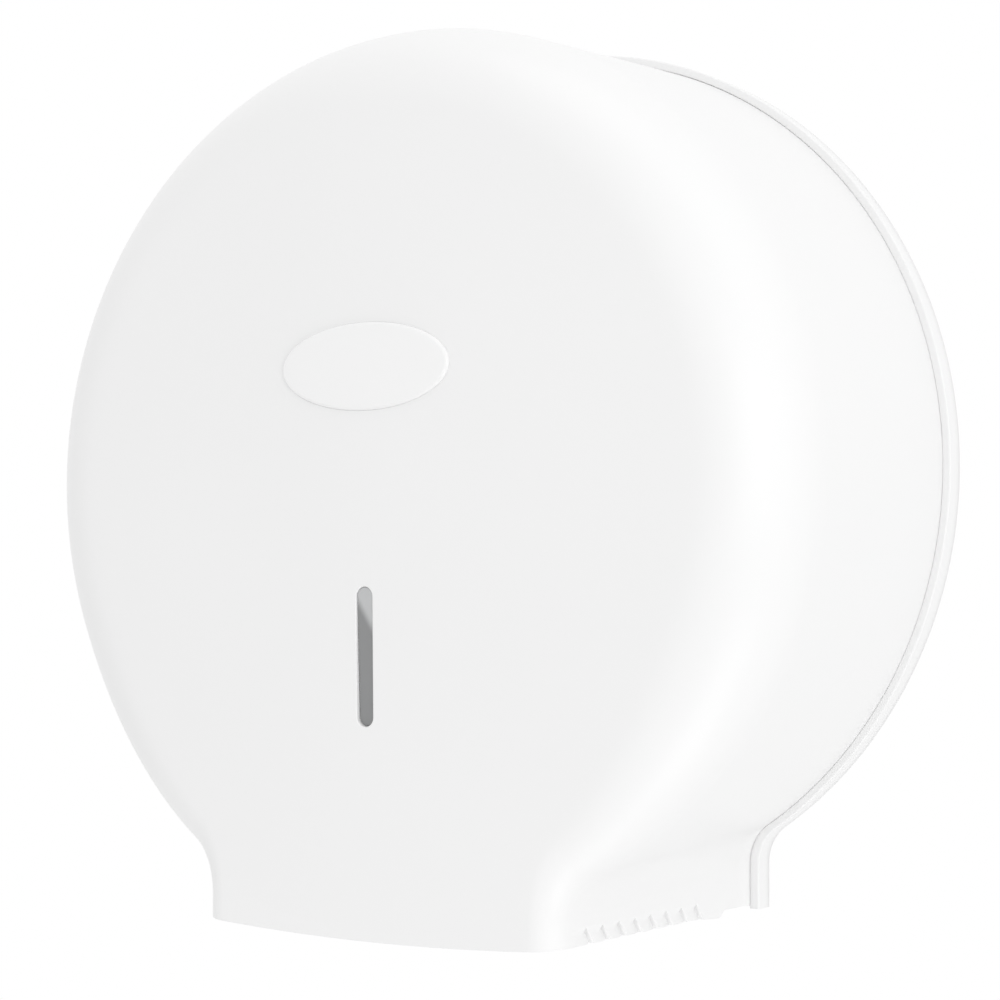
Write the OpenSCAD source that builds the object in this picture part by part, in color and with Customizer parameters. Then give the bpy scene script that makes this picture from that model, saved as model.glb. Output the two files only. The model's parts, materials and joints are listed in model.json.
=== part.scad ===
// Jumbo toilet roll dispenser: wall tray, drop-down cover, roll hub and top lock.
// Millimetres. X runs to the right, Y into the wall, Z up.
// The origin is the centre of the round part, on the wall. Depths are counted from the wall towards -Y.

/* [Tray] */
// Radius of the tray's round part
tray_r = 135; // [125:1:160]
// Half width of the tray's neck
tray_neck = 72; // [64:1:85]
// How far the neck's bottom edge lies below the round part
neck_drop = 1.5; // [0.5:0.5:12]
// Thickness of the tray's floor
tray_t = 2.5; // [2:0.1:4]
// Depth of the tray's rim
rim_depth = 7.8; // [6:0.1:12]
// Thickness of the rim round the circle
rim_t = 2; // [1.5:0.1:3]
// Thickness of the rim beside the neck
neck_rim_t = 2.5; // [1.5:0.1:3.5]
// Radius of the hollow blend between circle and neck
tray_blend_r = 14; // [8:1:24]
// Radius of the stiffening ring on the tray's floor
ring_r = 112; // [100:1:116]
// Height of the stiffening ring
ring_h = 3; // [1:0.5:4.5]
// Thickness of the stiffening ring
ring_t = 2; // [1.5:0.1:3]

/* [Wall screws] */
// Distance between the wall screw holes across
screw_span_x = 150; // [130:1:160]
// Distance between the wall screw holes upwards
screw_span_z = 124; // [110:1:140]
// Radius of a wall screw hole
wall_hole_r = 2.75; // [2:0.05:3.5]
// Radius of the collar round a wall screw hole
collar_r = 8; // [6:0.5:10]
// Height of the collar above the tray's floor
collar_h = 2; // [1:0.5:3]

/* [Cover] */
// Depth of the cover's front face at its edge
face_depth = 111.5; // [105:0.5:125]
// Height of the dome on the front face
dome = 2.5; // [2:0.5:9]
// Wall thickness of the cover
cover_t = 2.7; // [2:0.1:3.5]
// Gap between cover and rim round the circle
rim_gap = 0.5; // [0.4:0.1:1.5]
// Gap between cover and rim beside the neck
neck_gap = 0.5; // [0.4:0.1:1.5]
// How far each side of the cover's neck flares out at its back edge
neck_flare = 1.4; // [0:0.1:2]
// Gap between the cover's back edge and the tray's floor
seat_gap = 0.5; // [0.3:0.1:1]
// How much smaller the round part gets towards the front
round_draft = 1.2; // [0:0.1:4]
// How much narrower each side of the neck gets towards the front
neck_draft = 6.1; // [0:0.1:8]
// How far the round part's centre drops towards the front
front_drop = 4.2; // [0:0.1:8]
// Radius of the hollow blend between the cover's round part and neck
cover_blend_r = 15; // [8:1:24]
// Radius of the front edge round the circle
edge_r = 25; // [12:1:30]
// Radius of the front edge beside the neck
neck_edge_r = 8; // [5:0.5:12]
// Height of the cover's bottom edge above the tray's
cover_rise = 1; // [0:0.1:3]
// How far the chin bows down in the middle
chin_bow = 2.3; // [0:0.1:4]
// How far the hinge lugs reach below the cover's bottom edge
lug_drop = 1.1; // [0:0.1:1.5]

/* [Tear teeth] */
// Number of teeth on each side of the neck
tooth_count = 8; // [4:1:9]
// Distance from tooth to tooth
tooth_pitch = 8.3; // [6:0.1:9.2]
// Depth of the first tooth, from the wall
tooth_start = 36.5; // [36:0.5:38]
// Height of a tooth
tooth_h = 4.8; // [3:0.1:8]
// How deep a tooth is cut into the wall
tooth_cut = 1; // [0.4:0.1:1.4]
// Length of a tooth's ramp
tooth_ramp = 3.4; // [2:0.1:4.5]
// Slant of a tooth
tooth_slant = 38; // [0:1:40]

/* [Level slot] */
// Width of the slot
slot_w = 5.6; // [4:0.1:8]
// Length of the slot
slot_len = 40; // [30:0.5:55]
// Height of the slot's middle
slot_z = -56.4; // [-65:0.1:-50]
// Width of the clear strip
strip_w = 16; // [13:0.5:24]
// Thickness of the clear strip
strip_t = 1.5; // [1:0.1:2]
// Gap round the strip's land in the slot
land_gap = 0.1; // [0.05:0.05:0.4]
// How deep the land's front lies under the face
land_sink = 0.4; // [0.2:0.1:1]
// Distance from the slot's end to the stud's centre
stud_step = 5.5; // [5:0.5:10]
// Radius of a stud's shank
stud_r = 1.4; // [1:0.1:1.8]
// Radius of a stud's head
stud_head_r = 3; // [2.4:0.1:4]
// Thickness of a stud's head
stud_head_t = 1; // [0.8:0.1:1.5]

/* [Badge] */
// Width of the oval badge
badge_w = 59; // [40:1:80]
// Height of the oval badge
badge_h = 25.5; // [16:0.5:40]
// Thickness of the badge
badge_t = 1.9; // [1.2:0.1:3]
// Height of the badge's middle
badge_z = 26.8; // [15:0.1:45]
// How deep the badge's pocket is at its middle
pocket_cut = 1.1; // [0.9:0.1:1.6]
// Thickness of the adhesive pad
pad_t = 0.4; // [0.3:0.1:0.8]
// Gap round the badge in its pocket
badge_gap = 0.1; // [0.1:0.1:0.8]

/* [Hinge] */
// Distance from the tray's floor to the hinge axis
hinge_out = 6.5; // [6:0.1:9]
// Height of the hinge axis above the tray's bottom edge
hinge_up = 8; // [7:0.1:12]
// Radius of a hinge pin
pin_r = 2; // [1.5:0.1:2.5]
// Running clearance round a hinge pin
pin_clear = 0.05; // [0.02:0.01:0.1]
// Thickness of a hinge ear
ear_t = 4; // [3:0.5:6]
// Gap between an ear and the cover's boss
ear_gap = 0.6; // [0.4:0.1:1.5]
// How far the cover's hinge boss stands inside its wall
boss_stand = 3; // [2:0.1:4]
// Wall left at the end of the pin's hole
pin_skin = 1; // [0.8:0.1:1.5]
// Gap between the pin's end and the bottom of its hole
pin_end_gap = 0.3; // [0.2:0.1:1]

/* [Lock] */
// Distance from the wall to the lock's axis
lock_out = 24; // [22:0.5:30]
// How deep the lock's flange lies under the cover's top
lock_sink = 1; // [0.6:0.1:2]
// Radius of the lock's flange
flange_r = 10; // [9:0.5:12]
// Thickness of the lock's flange
flange_t = 1.5; // [1:0.1:2]
// Radius of the lock's body
housing_r = 7.5; // [7:0.1:8]
// Length of the lock's body under its flange
housing_len = 12.5; // [12:0.5:14]
// Radius of the turning barrel
barrel_r = 5; // [4:0.1:5.5]
// Radius of the barrel's head
barrel_head_r = 6.5; // [6:0.1:6.8]
// Thickness of the barrel's head
barrel_head_t = 1; // [0.8:0.1:1.3]
// Clearance round the barrel
barrel_clear = 0.05; // [0.02:0.01:0.1]
// Width of the key slot
key_w = 1.4; // [1:0.1:2]
// Length of the key slot
key_len = 7; // [5:0.5:9]
// Depth of the key slot
key_depth = 6; // [3:0.5:8]
// Distance across the nut's corners
nut_corners = 23; // [21:0.5:25]
// Thickness of the nut
nut_t = 3; // [2:0.5:3]
// Height of the boss under the cover's top
lock_boss_h = 4.5; // [3:0.5:5]
// Reach of the cam from the lock's axis
cam_reach = 16; // [14:0.5:17]
// Width of the cam
cam_w = 10; // [8:0.5:10]
// Thickness of the cam
cam_t = 1.8; // [1.2:0.1:2.5]
// Gap between the cam and the lock's body
cam_gap = 0.3; // [0.2:0.1:0.6]
// Radius of the cam screw's shank
cam_screw_r = 1.5; // [1.2:0.1:2]
// Length of the cam screw's shank
cam_screw_len = 6; // [5:0.5:7]
// Thickness of the keeper's sheet metal
keeper_t = 2.5; // [2:0.1:3]
// Height of the keeper
keeper_h = 6; // [5:0.5:7]
// Gap between cam and keeper
keeper_gap = 0.5; // [0.3:0.1:1]
// Gap between the cam's tip and the keeper's arm
tip_gap = 2; // [1:0.1:3]
// Length of the keeper's foot
foot_len = 20; // [19:0.5:22]
// Height of the keeper's foot
foot_h = 10; // [8:0.5:11]
// Thickness of the keeper's foot
foot_t = 2; // [1.5:0.1:3]
// Height of the pad under the keeper's foot
foot_pad_h = 3; // [2:0.5:4]
// Radius of a keeper screw's shank
keeper_screw_r = 1.75; // [1.4:0.05:2]
// Length of a keeper screw's shank
keeper_screw_len = 6; // [4:0.5:6.5]

/* [Spindle] */
// Thickness of the tray under the spindle
pad_depth = 5; // [4:0.5:7]
// Radius of the spindle's flange
post_flange_r = 30; // [26:1:40]
// Thickness of the spindle's flange
post_flange_t = 3; // [2.5:0.5:5]
// Radius of the spindle
post_r = 10; // [8:0.5:12]
// Length of the spindle beyond its flange
post_len = 81.5; // [70:0.5:82]
// Radius of the hollow in the spindle
post_hollow_r = 6.5; // [4:0.5:7]
// Solid length at the spindle's end
post_solid = 22; // [18:1:30]
// Radius of the circle of the flange's screws
post_screw_ring = 24; // [23:0.5:26]
// Radius of a flange screw's shank
post_screw_r = 2; // [1.5:0.1:2.4]
// Length of a flange screw's shank
post_screw_len = 7; // [5:0.5:7]
// Thickness of the friction washer
washer_t = 0.8; // [0.5:0.1:1.2]
// Outer radius of the friction washer
washer_r = 19; // [16:0.5:19]
// Height of the wave spring
wave_h = 1.7; // [1.2:0.1:2]
// Thickness of the wave spring's strip
wave_t = 0.5; // [0.3:0.1:0.8]
// Number of waves
wave_count = 4; // [3:1:6]

/* [Roll hub] */
// Radius of the disc behind the roll
disc_r = 89; // [70:1:90]
// Thickness of the disc
disc_t = 1.8; // [1.5:0.1:2.5]
// Outer radius of the drum that carries the core
drum_r = 27.5; // [24:0.5:30]
// Wall thickness of the drum
drum_t = 2; // [1.5:0.1:3]
// Length of the drum in front of the disc
drum_len = 86.4; // [86:0.1:92]
// Number of ribs in the drum
rib_count = 6; // [4:1:8]
// Thickness of a rib
rib_t = 2; // [1.5:0.1:3]
// Outer radius of a bush
bush_r = 13; // [12.5:0.1:14]
// Length of a bush
bush_len = 9; // [6:0.5:12]
// Outer radius of a bush's collar
bush_collar_r = 14.3; // [14.2:0.1:14.8]
// Thickness of a bush's collar
bush_collar_t = 1.2; // [0.8:0.1:1.5]
// Wall thickness of the sleeve round the bushes
sleeve_t = 2.8; // [2.4:0.1:4]
// Running clearance between spindle and bush
bush_clear = 0.06; // [0.02:0.01:0.1]
// Gap at each end of the hub
end_gap = 0.3; // [0.2:0.1:0.6]
// Thickness of the retaining disc
retainer_t = 1.5; // [1:0.1:2]
// Radius of the retaining disc
retainer_r = 13; // [12:0.5:15]
// Radius of the hub screw's shank
hub_screw_r = 2.5; // [2:0.1:3]
// Length of the hub screw's shank
hub_screw_len = 16; // [12:1:17]
// Thickness of the drum's cap
cap_t = 2.5; // [2:0.1:2.5]
// Gap round the drum's cap
cap_gap = 0.15; // [0.1:0.05:0.4]

/* [Hidden] */
$fn = 96;
// Overshoot of a cutting shape
over = 1;
// Gap between a screw and the plain hole it passes through
hole_gap = 0.15;
// Gap between a thread and the hole it is screwed into
thread_gap = 0.05;
// Depth to which a part's foot is sunk into the wall that it grows from
root = 1;
// Radius of a screw's head and of its key socket, as shares of its shank's radius
head_share = 1.8;
socket_share = 0.9;

// Tray and hinge places
tray_low = tray_r + neck_drop;
tray_inner_r = tray_r - rim_t;
tray_inner_neck = tray_neck - neck_rim_t;
hinge_depth = tray_t + hinge_out;
hinge_z = hinge_up - tray_low;
heel_r = hinge_out - seat_gap;
// How far the hinge boss stays inside the rounded heel
boss_inset = 0.4;
boss_r = heel_r - boss_inset;

// Cover outline, from its back edge at cover_back to its face at face_depth
cover_back = tray_t + seat_gap;
cover_r = tray_inner_r - rim_gap;
cover_neck = tray_inner_neck - neck_gap - neck_flare;
cover_low = tray_low - cover_rise;
// Lengths of the heel's straight run, of the step down to the lug and of the lug's fade
heel_run = 5;
lug_step = 3;
lug_fade = 15;
lug_start = hinge_depth + heel_r + heel_run;
lug_full = lug_start + lug_step;
lug_end = lug_full + lug_fade;
// The neck's flare begins at one depth, is whole at the other, and rises between them by this power
flare_start = lug_start;
flare_full = hinge_depth - heel_r / 2;
flare_curve = 5.5;
// Each station is a depth and the height of the bottom edge there
wall_stations = concat(
    [for (turn = [0:30:90]) [hinge_depth - heel_r * cos(turn), hinge_z - heel_r * sin(turn)]],
    [[lug_start, hinge_z - heel_r], [lug_full, -cover_low - lug_drop], [lug_end, -cover_low]]);

// Steps of the cover's mesh
neck_steps = 2;
blend_steps = 5;
round_steps = 32;
edge_steps = 6;
face_steps = 3;
// Share of the round part over which the edge radius grows from the neck's to the circle's
edge_fade = 0.25;
// How fast the face's middle line climbs against the outline beside it
spine_share = 0.7;
last_half = neck_steps + blend_steps + round_steps;
row_size = 2 * last_half + 1;
wall_rows = len(wall_stations);
row_count = wall_rows + edge_steps + 1 + face_steps;

function mix(a, b, t) = a + (b - a) * t;
function clamp(t) = max(0, min(1, t));
function smooth(t) = clamp(t) * clamp(t) * (3 - 2 * clamp(t));
function forward(d) = (d - cover_back) / (face_depth - cover_back);
function round_at(d) = cover_r - round_draft * forward(d);
function flare_at(d) = neck_flare * pow(clamp((flare_start - d) / (flare_start - flare_full)), flare_curve);
function neck_at(d) = cover_neck - neck_draft * forward(d) + flare_at(d);
function centre_at(d) = -front_drop * forward(d);
function cover_top(d) = round_at(d) + centre_at(d);
function dome_at(x, z) = dome * clamp(1 -
    (pow(x, 2) + pow(z - centre_at(face_depth), 2)) / pow(round_at(face_depth), 2));
function face_at(x, z) = face_depth + dome_at(x, z);
function edge_at(j) = mix(neck_edge_r, edge_r,
    smooth((j - neck_steps) / (blend_steps + round_steps * edge_fade)));

// Point j of the outline's right half at depth d: up the neck, round the blend, round the circle.
function half_outline(j, d, inset, low) =
    let (r = round_at(d) - inset, half = neck_at(d) - inset, blend = cover_blend_r + inset,
        mid = centre_at(d), across = half + blend,
        turn_z = mid - sqrt(pow(r + blend, 2) - pow(across, 2)),
        turn = atan2(mid - turn_z, -across))
    j <= neck_steps ? [half, mix(low, turn_z, j / neck_steps)]
    : j <= neck_steps + blend_steps ?
        let (a = mix(180, turn, (j - neck_steps) / blend_steps))
            [across + blend * cos(a), turn_z + blend * sin(a)]
    : let (a = mix(turn - 180, 90, (j - neck_steps - blend_steps) / round_steps))
            [r * cos(a), mid + r * sin(a)];

// Point j of row k on the cover's wall, t under the outer surface.
function wall_point(k, j, t) =
    let (d = wall_stations[k][0], p = half_outline(j, d, t, wall_stations[k][1]))
        [p[0], -d, p[1]];

// Point j of row k past the wall, t under the outer surface: round the edge, then over the face.
function front_point(k, j, t) =
    let (past = k - wall_rows, a = 90 * clamp(past / edge_steps),
        edge = edge_at(j), bend = edge - t, d = face_depth - edge + bend * sin(a),
        p = half_outline(j, d, t + bend * (1 - cos(a)), -cover_low),
        out = 1 - max(0, past - edge_steps) / face_steps,
        x = p[0] * out,
        z = mix(mix(-cover_low, p[1], spine_share), p[1], out)
            - chin_bow * clamp(1 - j / neck_steps) * clamp(1 - pow(x / neck_at(face_depth), 2)))
        [x, -d - dome_at(x, z), z];

function shell_point(k, i, t) =
    let (j = min(i, row_size - 1 - i), p = k < wall_rows ? wall_point(k, j, t) : front_point(k, j, t))
        i > last_half ? [-p[0], p[1], p[2]] : p;

// Number of a shell point: the last row's left half is its right half.
function spot(skin, k, i) = (skin * row_count + k) * row_size
    + (k == row_count - 1 ? min(i, row_size - 1 - i) : i);
function quad(a, b, c, d) = [[a, b, c], [a, c, d]];

// The smooth skin of the cover, open at the back and at the bottom.
module shell() {
    points = [for (skin = [0, 1], k = [0:row_count - 1], i = [0:row_size - 1])
        shell_point(k, i, skin * cover_t)];
    last = row_size - 1;
    faces = concat(
        [for (k = [0:row_count - 2], i = [0:row_size - 2], f = quad(
            spot(0, k, i), spot(0, k + 1, i), spot(0, k + 1, i + 1), spot(0, k, i + 1))) f],
        [for (k = [0:row_count - 2], i = [0:row_size - 2], f = quad(
            spot(1, k, i), spot(1, k, i + 1), spot(1, k + 1, i + 1), spot(1, k + 1, i))) f],
        [for (i = [0:row_size - 2], f = quad(
            spot(0, 0, i), spot(0, 0, i + 1), spot(1, 0, i + 1), spot(1, 0, i))) f],
        [for (k = [0:row_count - 2], f = quad(
            spot(0, k + 1, 0), spot(0, k, 0), spot(1, k, 0), spot(1, k + 1, 0))) f],
        [for (k = [0:row_count - 2], f = quad(
            spot(0, k, last), spot(0, k + 1, last), spot(1, k + 1, last), spot(1, k, last))) f]);
    polyhedron(points, faces);
}

// Window and badge places
slot_run = (slot_len - slot_w) / 2;
strip_end = 6;
strip_len = slot_len + 2 * (stud_step + strip_end);
strip_gap = 0.3;
strip_front = face_at(strip_w / 2, slot_z - strip_len / 2) - cover_t - strip_gap;
strip_back = strip_front - strip_t;
stud_places = [slot_z - slot_len / 2 - stud_step, slot_z + slot_len / 2 + stud_step];
stud_grip = 2;
pocket_floor = face_at(0, badge_z) - pocket_cut;
badge_back = pocket_floor + pad_t;
badge_bevel = 0.7;
// Share of the bevel at which its middle ring lies
bevel_share = 0.3;

// Outline of an oval, from its width and height
oval_steps = 72;
function oval_points(w, h) = [for (i = [0:oval_steps - 1])
    [w / 2 * cos(360 * i / oval_steps), h / 2 * sin(360 * i / oval_steps)]];

// Hinge places
boss_inner = neck_at(hinge_depth) - cover_t - boss_stand;
boss_sink = 0.3;
boss_outer = neck_at(hinge_depth + boss_r) - boss_sink;
ear_outer = boss_inner - ear_gap;
pin_inner = ear_outer - ear_t;
pin_hole_end = neck_at(hinge_depth + boss_r) - pin_skin;
pin_outer = pin_hole_end - pin_end_gap;

// Lock places
lock_top = cover_top(lock_out) - lock_sink;
lock_seat = lock_top - flange_t;
housing_low = lock_seat - housing_len;
lock_boss_low = cover_top(lock_out) - cover_t - lock_boss_h;
lock_boss_wall = 2;
lock_boss_r = flange_r + lock_boss_wall;
flange_gap = 0.2;
barrel_sink = 0.2;
barrel_top = lock_top - barrel_sink;
cam_top = housing_low - cam_gap;
cam_low = cam_top - cam_t;
cam_screw_head_r = 3;
cam_screw_head_t = 2;
keeper_mid = cam_top - cam_t / 2;
keeper_front = lock_out + cam_w / 2 + keeper_gap + keeper_t;
keeper_x = cam_reach + tip_gap;
finger_gap = 1.5;
keeper_tip = housing_r + finger_gap;
foot_back = tray_t + foot_pad_h;
foot_front = foot_back + foot_t;
// Distances of the keeper's screws from its arm and from its foot's end
keeper_screw_near = 3.5;
keeper_screw_far = 4.5;
keeper_screw_places = [keeper_t + keeper_screw_near, foot_len - keeper_screw_far];
keeper_screw_head_h = 1.6;
pad_edge = 1;

// Spindle and hub places
post_face = pad_depth + post_flange_t;
post_end = post_face + post_len;
pad_wall = 2;
pad_r = post_flange_r + pad_wall;
wave_back = post_face + washer_t;
wave_edge = 1;
wave_inner = post_r + wave_edge;
wave_outer = washer_r - wave_edge;
wave_steps = 72;
hub_back = wave_back + wave_h + end_gap;
disc_front = hub_back + disc_t;
drum_front = disc_front + drum_len;
drum_inner = drum_r - drum_t;
sleeve_r = bush_r + sleeve_t;
sleeve_front = post_end - end_gap - bush_collar_t;
bush_bore = post_r + bush_clear;
post_screw_head_h = 2.2;
hub_screw_head_h = 3.5;

// Extrudes a flat XZ shape from one depth to another.
module plate(from, to) {
    translate([0, -from, 0]) rotate([90, 0, 0]) linear_extrude(to - from) children();
}

// A round bar along Y, from one depth to another.
module bar(r, from, to, x = 0, z = 0) {
    translate([x, -from, z]) rotate([90, 0, 0]) cylinder(r = r, h = to - from);
}

// A round tube along Y, from one depth to another.
module tube(outer, inner, from, to) {
    difference() {
        bar(outer, from, to);
        bar(inner, from - over, to + over);
    }
}

// A round bar along X at the hinge's height, on the right.
module hinge_bar(r, from, to) {
    translate([from, -hinge_depth, hinge_z]) rotate([0, 90, 0]) cylinder(r = r, h = to - from);
}

// A round bar along Z at the lock's place.
module lock_bar(r, low, high) {
    translate([0, -lock_out, low]) cylinder(r = r, h = high - low);
}

// Draws its children on the right and, mirrored, on the left.
module both_sides() {
    children();
    mirror([1, 0, 0]) children();
}

module wall_hole_places() {
    for (x = [-1, 1], z = [-1, 1]) translate([x * screw_span_x / 2, 0, z * screw_span_z / 2]) children();
}

module post_screw_places() {
    for (turn = [45:90:315])
        translate([post_screw_ring * cos(turn), 0, post_screw_ring * sin(turn)]) children();
}

module keeper_screw_places() {
    for (step = keeper_screw_places) translate([keeper_x + step, 0, keeper_mid]) children();
}

// A pan head screw along Y: its head sits on the face at depth seat, its shank points to the wall.
module pan_screw(r, len, seat, head_h) {
    difference() {
        union() {
            bar(r, seat - len, seat);
            bar(head_share * r, seat, seat + head_h);
        }
        translate([0, -seat - head_h / 2, 0]) rotate([90, 0, 0])
            cylinder(r = socket_share * r, h = head_h, $fn = 6);
    }
}

// Round part, neck and the hollow blends between them.
module outline(r, half, low, blend) {
    across = half + blend;
    down = sqrt(pow(r + blend, 2) - pow(across, 2));
    touch = r / (r + blend);
    circle(r);
    translate([-half, -low]) square([2 * half, low]);
    for (side = [-1, 1]) difference() {
        polygon([[0, 0], [side * across * touch, -down * touch],
            [side * across, -down], [side * half, -down]]);
        translate([side * across, -down]) circle(blend);
    }
}

// One of the two ears on the tray that hold the hinge pins.
module hinge_ear() {
    hinge_bar(boss_r, pin_inner, ear_outer);
    translate([pin_inner, -hinge_depth, hinge_z - boss_r])
        cube([ear_t, hinge_depth - tray_t + root, 2 * boss_r]);
}

module back_plate() {
    color("whitesmoke") difference() {
        union() {
            difference() {
                plate(0, rim_depth) outline(tray_r, tray_neck, tray_low, tray_blend_r);
                plate(tray_t, rim_depth + over)
                    outline(tray_inner_r, tray_inner_neck, tray_low + over, tray_blend_r + rim_t);
            }
            bar(pad_r, tray_t - root, pad_depth);
            tube(ring_r, ring_r - ring_t, tray_t - root, tray_t + ring_h);
            wall_hole_places() bar(collar_r, tray_t - root, tray_t + collar_h);
            both_sides() hinge_ear();
            translate([keeper_x - pad_edge, -foot_back, keeper_mid - foot_h / 2 - pad_edge])
                cube([foot_len + 2 * pad_edge, foot_pad_h + root, foot_h + 2 * pad_edge]);
        }
        wall_hole_places() bar(wall_hole_r, -over, tray_t + collar_h + over);
        post_screw_places() bar(post_screw_r + thread_gap, post_face - post_screw_len, pad_depth + over);
        keeper_screw_places()
            bar(keeper_screw_r + thread_gap, foot_front - keeper_screw_len, foot_back + over);
        both_sides() hinge_bar(pin_r, pin_inner - over, ear_outer + over);
    }
}

module spindle_post() {
    color("gainsboro") difference() {
        union() {
            bar(post_flange_r, pad_depth, post_face);
            bar(post_r, post_face - root, post_end);
        }
        bar(post_hollow_r, pad_depth - over, post_end - post_solid);
        bar(hub_screw_r + thread_gap, post_end - hub_screw_len, post_end + over);
        post_screw_places() bar(post_screw_r + hole_gap, pad_depth - over, post_face + over);
    }
}

module spindle_screws() {
    color("silver") post_screw_places() pan_screw(post_screw_r, post_screw_len, post_face, post_screw_head_h);
}

module friction_washer() {
    color("dimgray") tube(washer_r, post_r + hole_gap, post_face, wave_back);
}

// A flat strip ring bent into waves: it bears on the washer and stays clear of the hub by end_gap.
module wave_spring() {
    sway = (wave_h - wave_t) / 2;
    corners = [[wave_inner, 0], [wave_outer, 0], [wave_outer, wave_t], [wave_inner, wave_t]];
    points = [for (i = [0:wave_steps - 1], c = corners)
        let (a = 360 * i / wave_steps, rise = sway * (1 - cos(wave_count * a)) + c[1])
            [c[0] * cos(a), -wave_back - rise, c[0] * sin(a)]];
    faces = [for (i = [0:wave_steps - 1], c = [0:3], f = quad(
        4 * i + c, 4 * i + (c + 1) % 4,
        4 * ((i + 1) % wave_steps) + (c + 1) % 4, 4 * ((i + 1) % wave_steps) + c)) f];
    color("silver") polyhedron(points, faces);
}

module hub_retainer() {
    color("silver") tube(retainer_r, hub_screw_r + hole_gap, post_end, post_end + retainer_t);
}

module hub_screw() {
    color("silver") pan_screw(hub_screw_r, hub_screw_len, post_end + retainer_t, hub_screw_head_h);
}

// Bent bracket: foot on the tray, arm past the cam's tip, finger in front of the turned cam.
module lock_keeper() {
    color("silver") difference() {
        union() {
            translate([keeper_x, -foot_front, keeper_mid - foot_h / 2]) cube([foot_len, foot_t, foot_h]);
            translate([keeper_x, -keeper_front, keeper_mid - keeper_h / 2])
                cube([keeper_t, keeper_front - foot_back, keeper_h]);
            translate([keeper_tip, -keeper_front, keeper_mid - keeper_h / 2])
                cube([keeper_x + keeper_t - keeper_tip, keeper_t, keeper_h]);
        }
        keeper_screw_places() bar(keeper_screw_r + hole_gap, foot_back - over, foot_front + over);
    }
}

module keeper_screws() {
    color("silver") keeper_screw_places()
        pan_screw(keeper_screw_r, keeper_screw_len, foot_front, keeper_screw_head_h);
}

module hinge_pin_left() {
    color("silver") mirror([1, 0, 0]) hinge_bar(pin_r, pin_inner, pin_outer);
}

module hinge_pin_right() {
    color("silver") hinge_bar(pin_r, pin_inner, pin_outer);
}

module oval(w, h) {
    polygon(oval_points(w, h));
}

module slot_outline() {
    translate([-slot_w / 2, -slot_run]) square([slot_w, 2 * slot_run]);
    for (end = [-1, 1]) translate([0, end * slot_run]) circle(slot_w / 2);
}

// The notch in front of one tear tooth, cut into the neck's right side: a ramp that sinks towards the wall,
// and a steep step at depth d that faces front.
module tooth_cutter(d) {
    side = neck_at(d);
    reach = tooth_cut + over;
    translate([0, -d, tooth_h - cover_low]) rotate([tooth_slant, 0, 0])
        translate([0, 0, -2 * tooth_h]) linear_extrude(2 * tooth_h)
            polygon([[side - tooth_cut, 0], [side + over, 0],
                [side + over, -reach * tooth_ramp / tooth_cut]]);
}

module front_cover() {
    color("white") difference() {
        union() {
            shell();
            both_sides() hinge_bar(boss_r, boss_inner, boss_outer);
            lock_bar(lock_boss_r, lock_boss_low, lock_seat);
            for (z = stud_places) bar(stud_head_r, strip_front, face_at(0, z) - cover_t / 2, 0, z);
        }
        plate(strip_front, face_depth + dome + over) translate([0, slot_z]) slot_outline();
        plate(pocket_floor, face_depth + dome + over)
            translate([0, badge_z]) oval(badge_w + 2 * badge_gap, badge_h + 2 * badge_gap);
        for (z = stud_places) bar(stud_r, strip_front - over, strip_front + stud_grip, 0, z);
        lock_bar(flange_r + flange_gap, lock_seat, lock_top + lock_sink + over);
        lock_bar(housing_r + hole_gap, lock_boss_low - over, lock_seat + over);
        both_sides() {
            hinge_bar(pin_r + pin_clear, boss_inner - over, pin_hole_end);
            for (i = [0:tooth_count - 1]) tooth_cutter(tooth_start + i * tooth_pitch);
        }
    }
}

// Oval plate with a rounded front edge: each ring has an inset and a height above the badge's back.
module badge_plate() {
    rings = [[0, 0], [0, badge_t - badge_bevel],
        [bevel_share * badge_bevel, badge_t - bevel_share * badge_bevel], [badge_bevel, badge_t]];
    points = [for (ring = rings, p = oval_points(badge_w - 2 * ring[0], badge_h - 2 * ring[0]))
        [p[0], -badge_back - ring[1], badge_z + p[1]]];
    sides = [for (k = [0:len(rings) - 2], i = [0:oval_steps - 1], f = quad(
        k * oval_steps + i, (k + 1) * oval_steps + i,
        (k + 1) * oval_steps + (i + 1) % oval_steps, k * oval_steps + (i + 1) % oval_steps)) f];
    back = [for (i = [0:oval_steps - 1]) i];
    front = [for (i = [oval_steps - 1:-1:0]) (len(rings) - 1) * oval_steps + i];
    color("white") polyhedron(points, concat(sides, [back, front]));
}

module badge_pad() {
    pad_inset = 1;
    color("gainsboro") translate([0, 0, badge_z])
        plate(pocket_floor, badge_back) oval(badge_w - 2 * pad_inset, badge_h - 2 * pad_inset);
}

// Raised land of the strip, which fills the slot to just under the face.
module window_land() {
    hull() for (end = [-1, 1])
        bar(slot_w / 2 - land_gap, strip_front - strip_t / 2,
            face_at(0, slot_z + end * slot_run) - land_sink, 0, slot_z + end * slot_run, $fn = 32);
}

module level_window() {
    color("lightgray") difference() {
        union() {
            translate([-strip_w / 2, -strip_front, slot_z - strip_len / 2])
                cube([strip_w, strip_t, strip_len]);
            window_land();
        }
        for (z = stud_places) bar(stud_r + hole_gap, strip_back - over, strip_front + over, 0, z);
    }
}

module window_rivets() {
    color("whitesmoke") for (z = stud_places) {
        bar(stud_r, strip_back, strip_front + stud_grip, 0, z);
        bar(stud_head_r, strip_back - stud_head_t, strip_back, 0, z);
    }
}

module lock_housing() {
    color("silver") difference() {
        union() {
            lock_bar(flange_r, lock_seat, lock_top);
            lock_bar(housing_r, housing_low, lock_seat);
        }
        lock_bar(barrel_r + barrel_clear, housing_low - over, lock_top + over);
        lock_bar(barrel_head_r + barrel_clear, barrel_top - barrel_head_t - barrel_clear, lock_top + over);
    }
}

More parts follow.
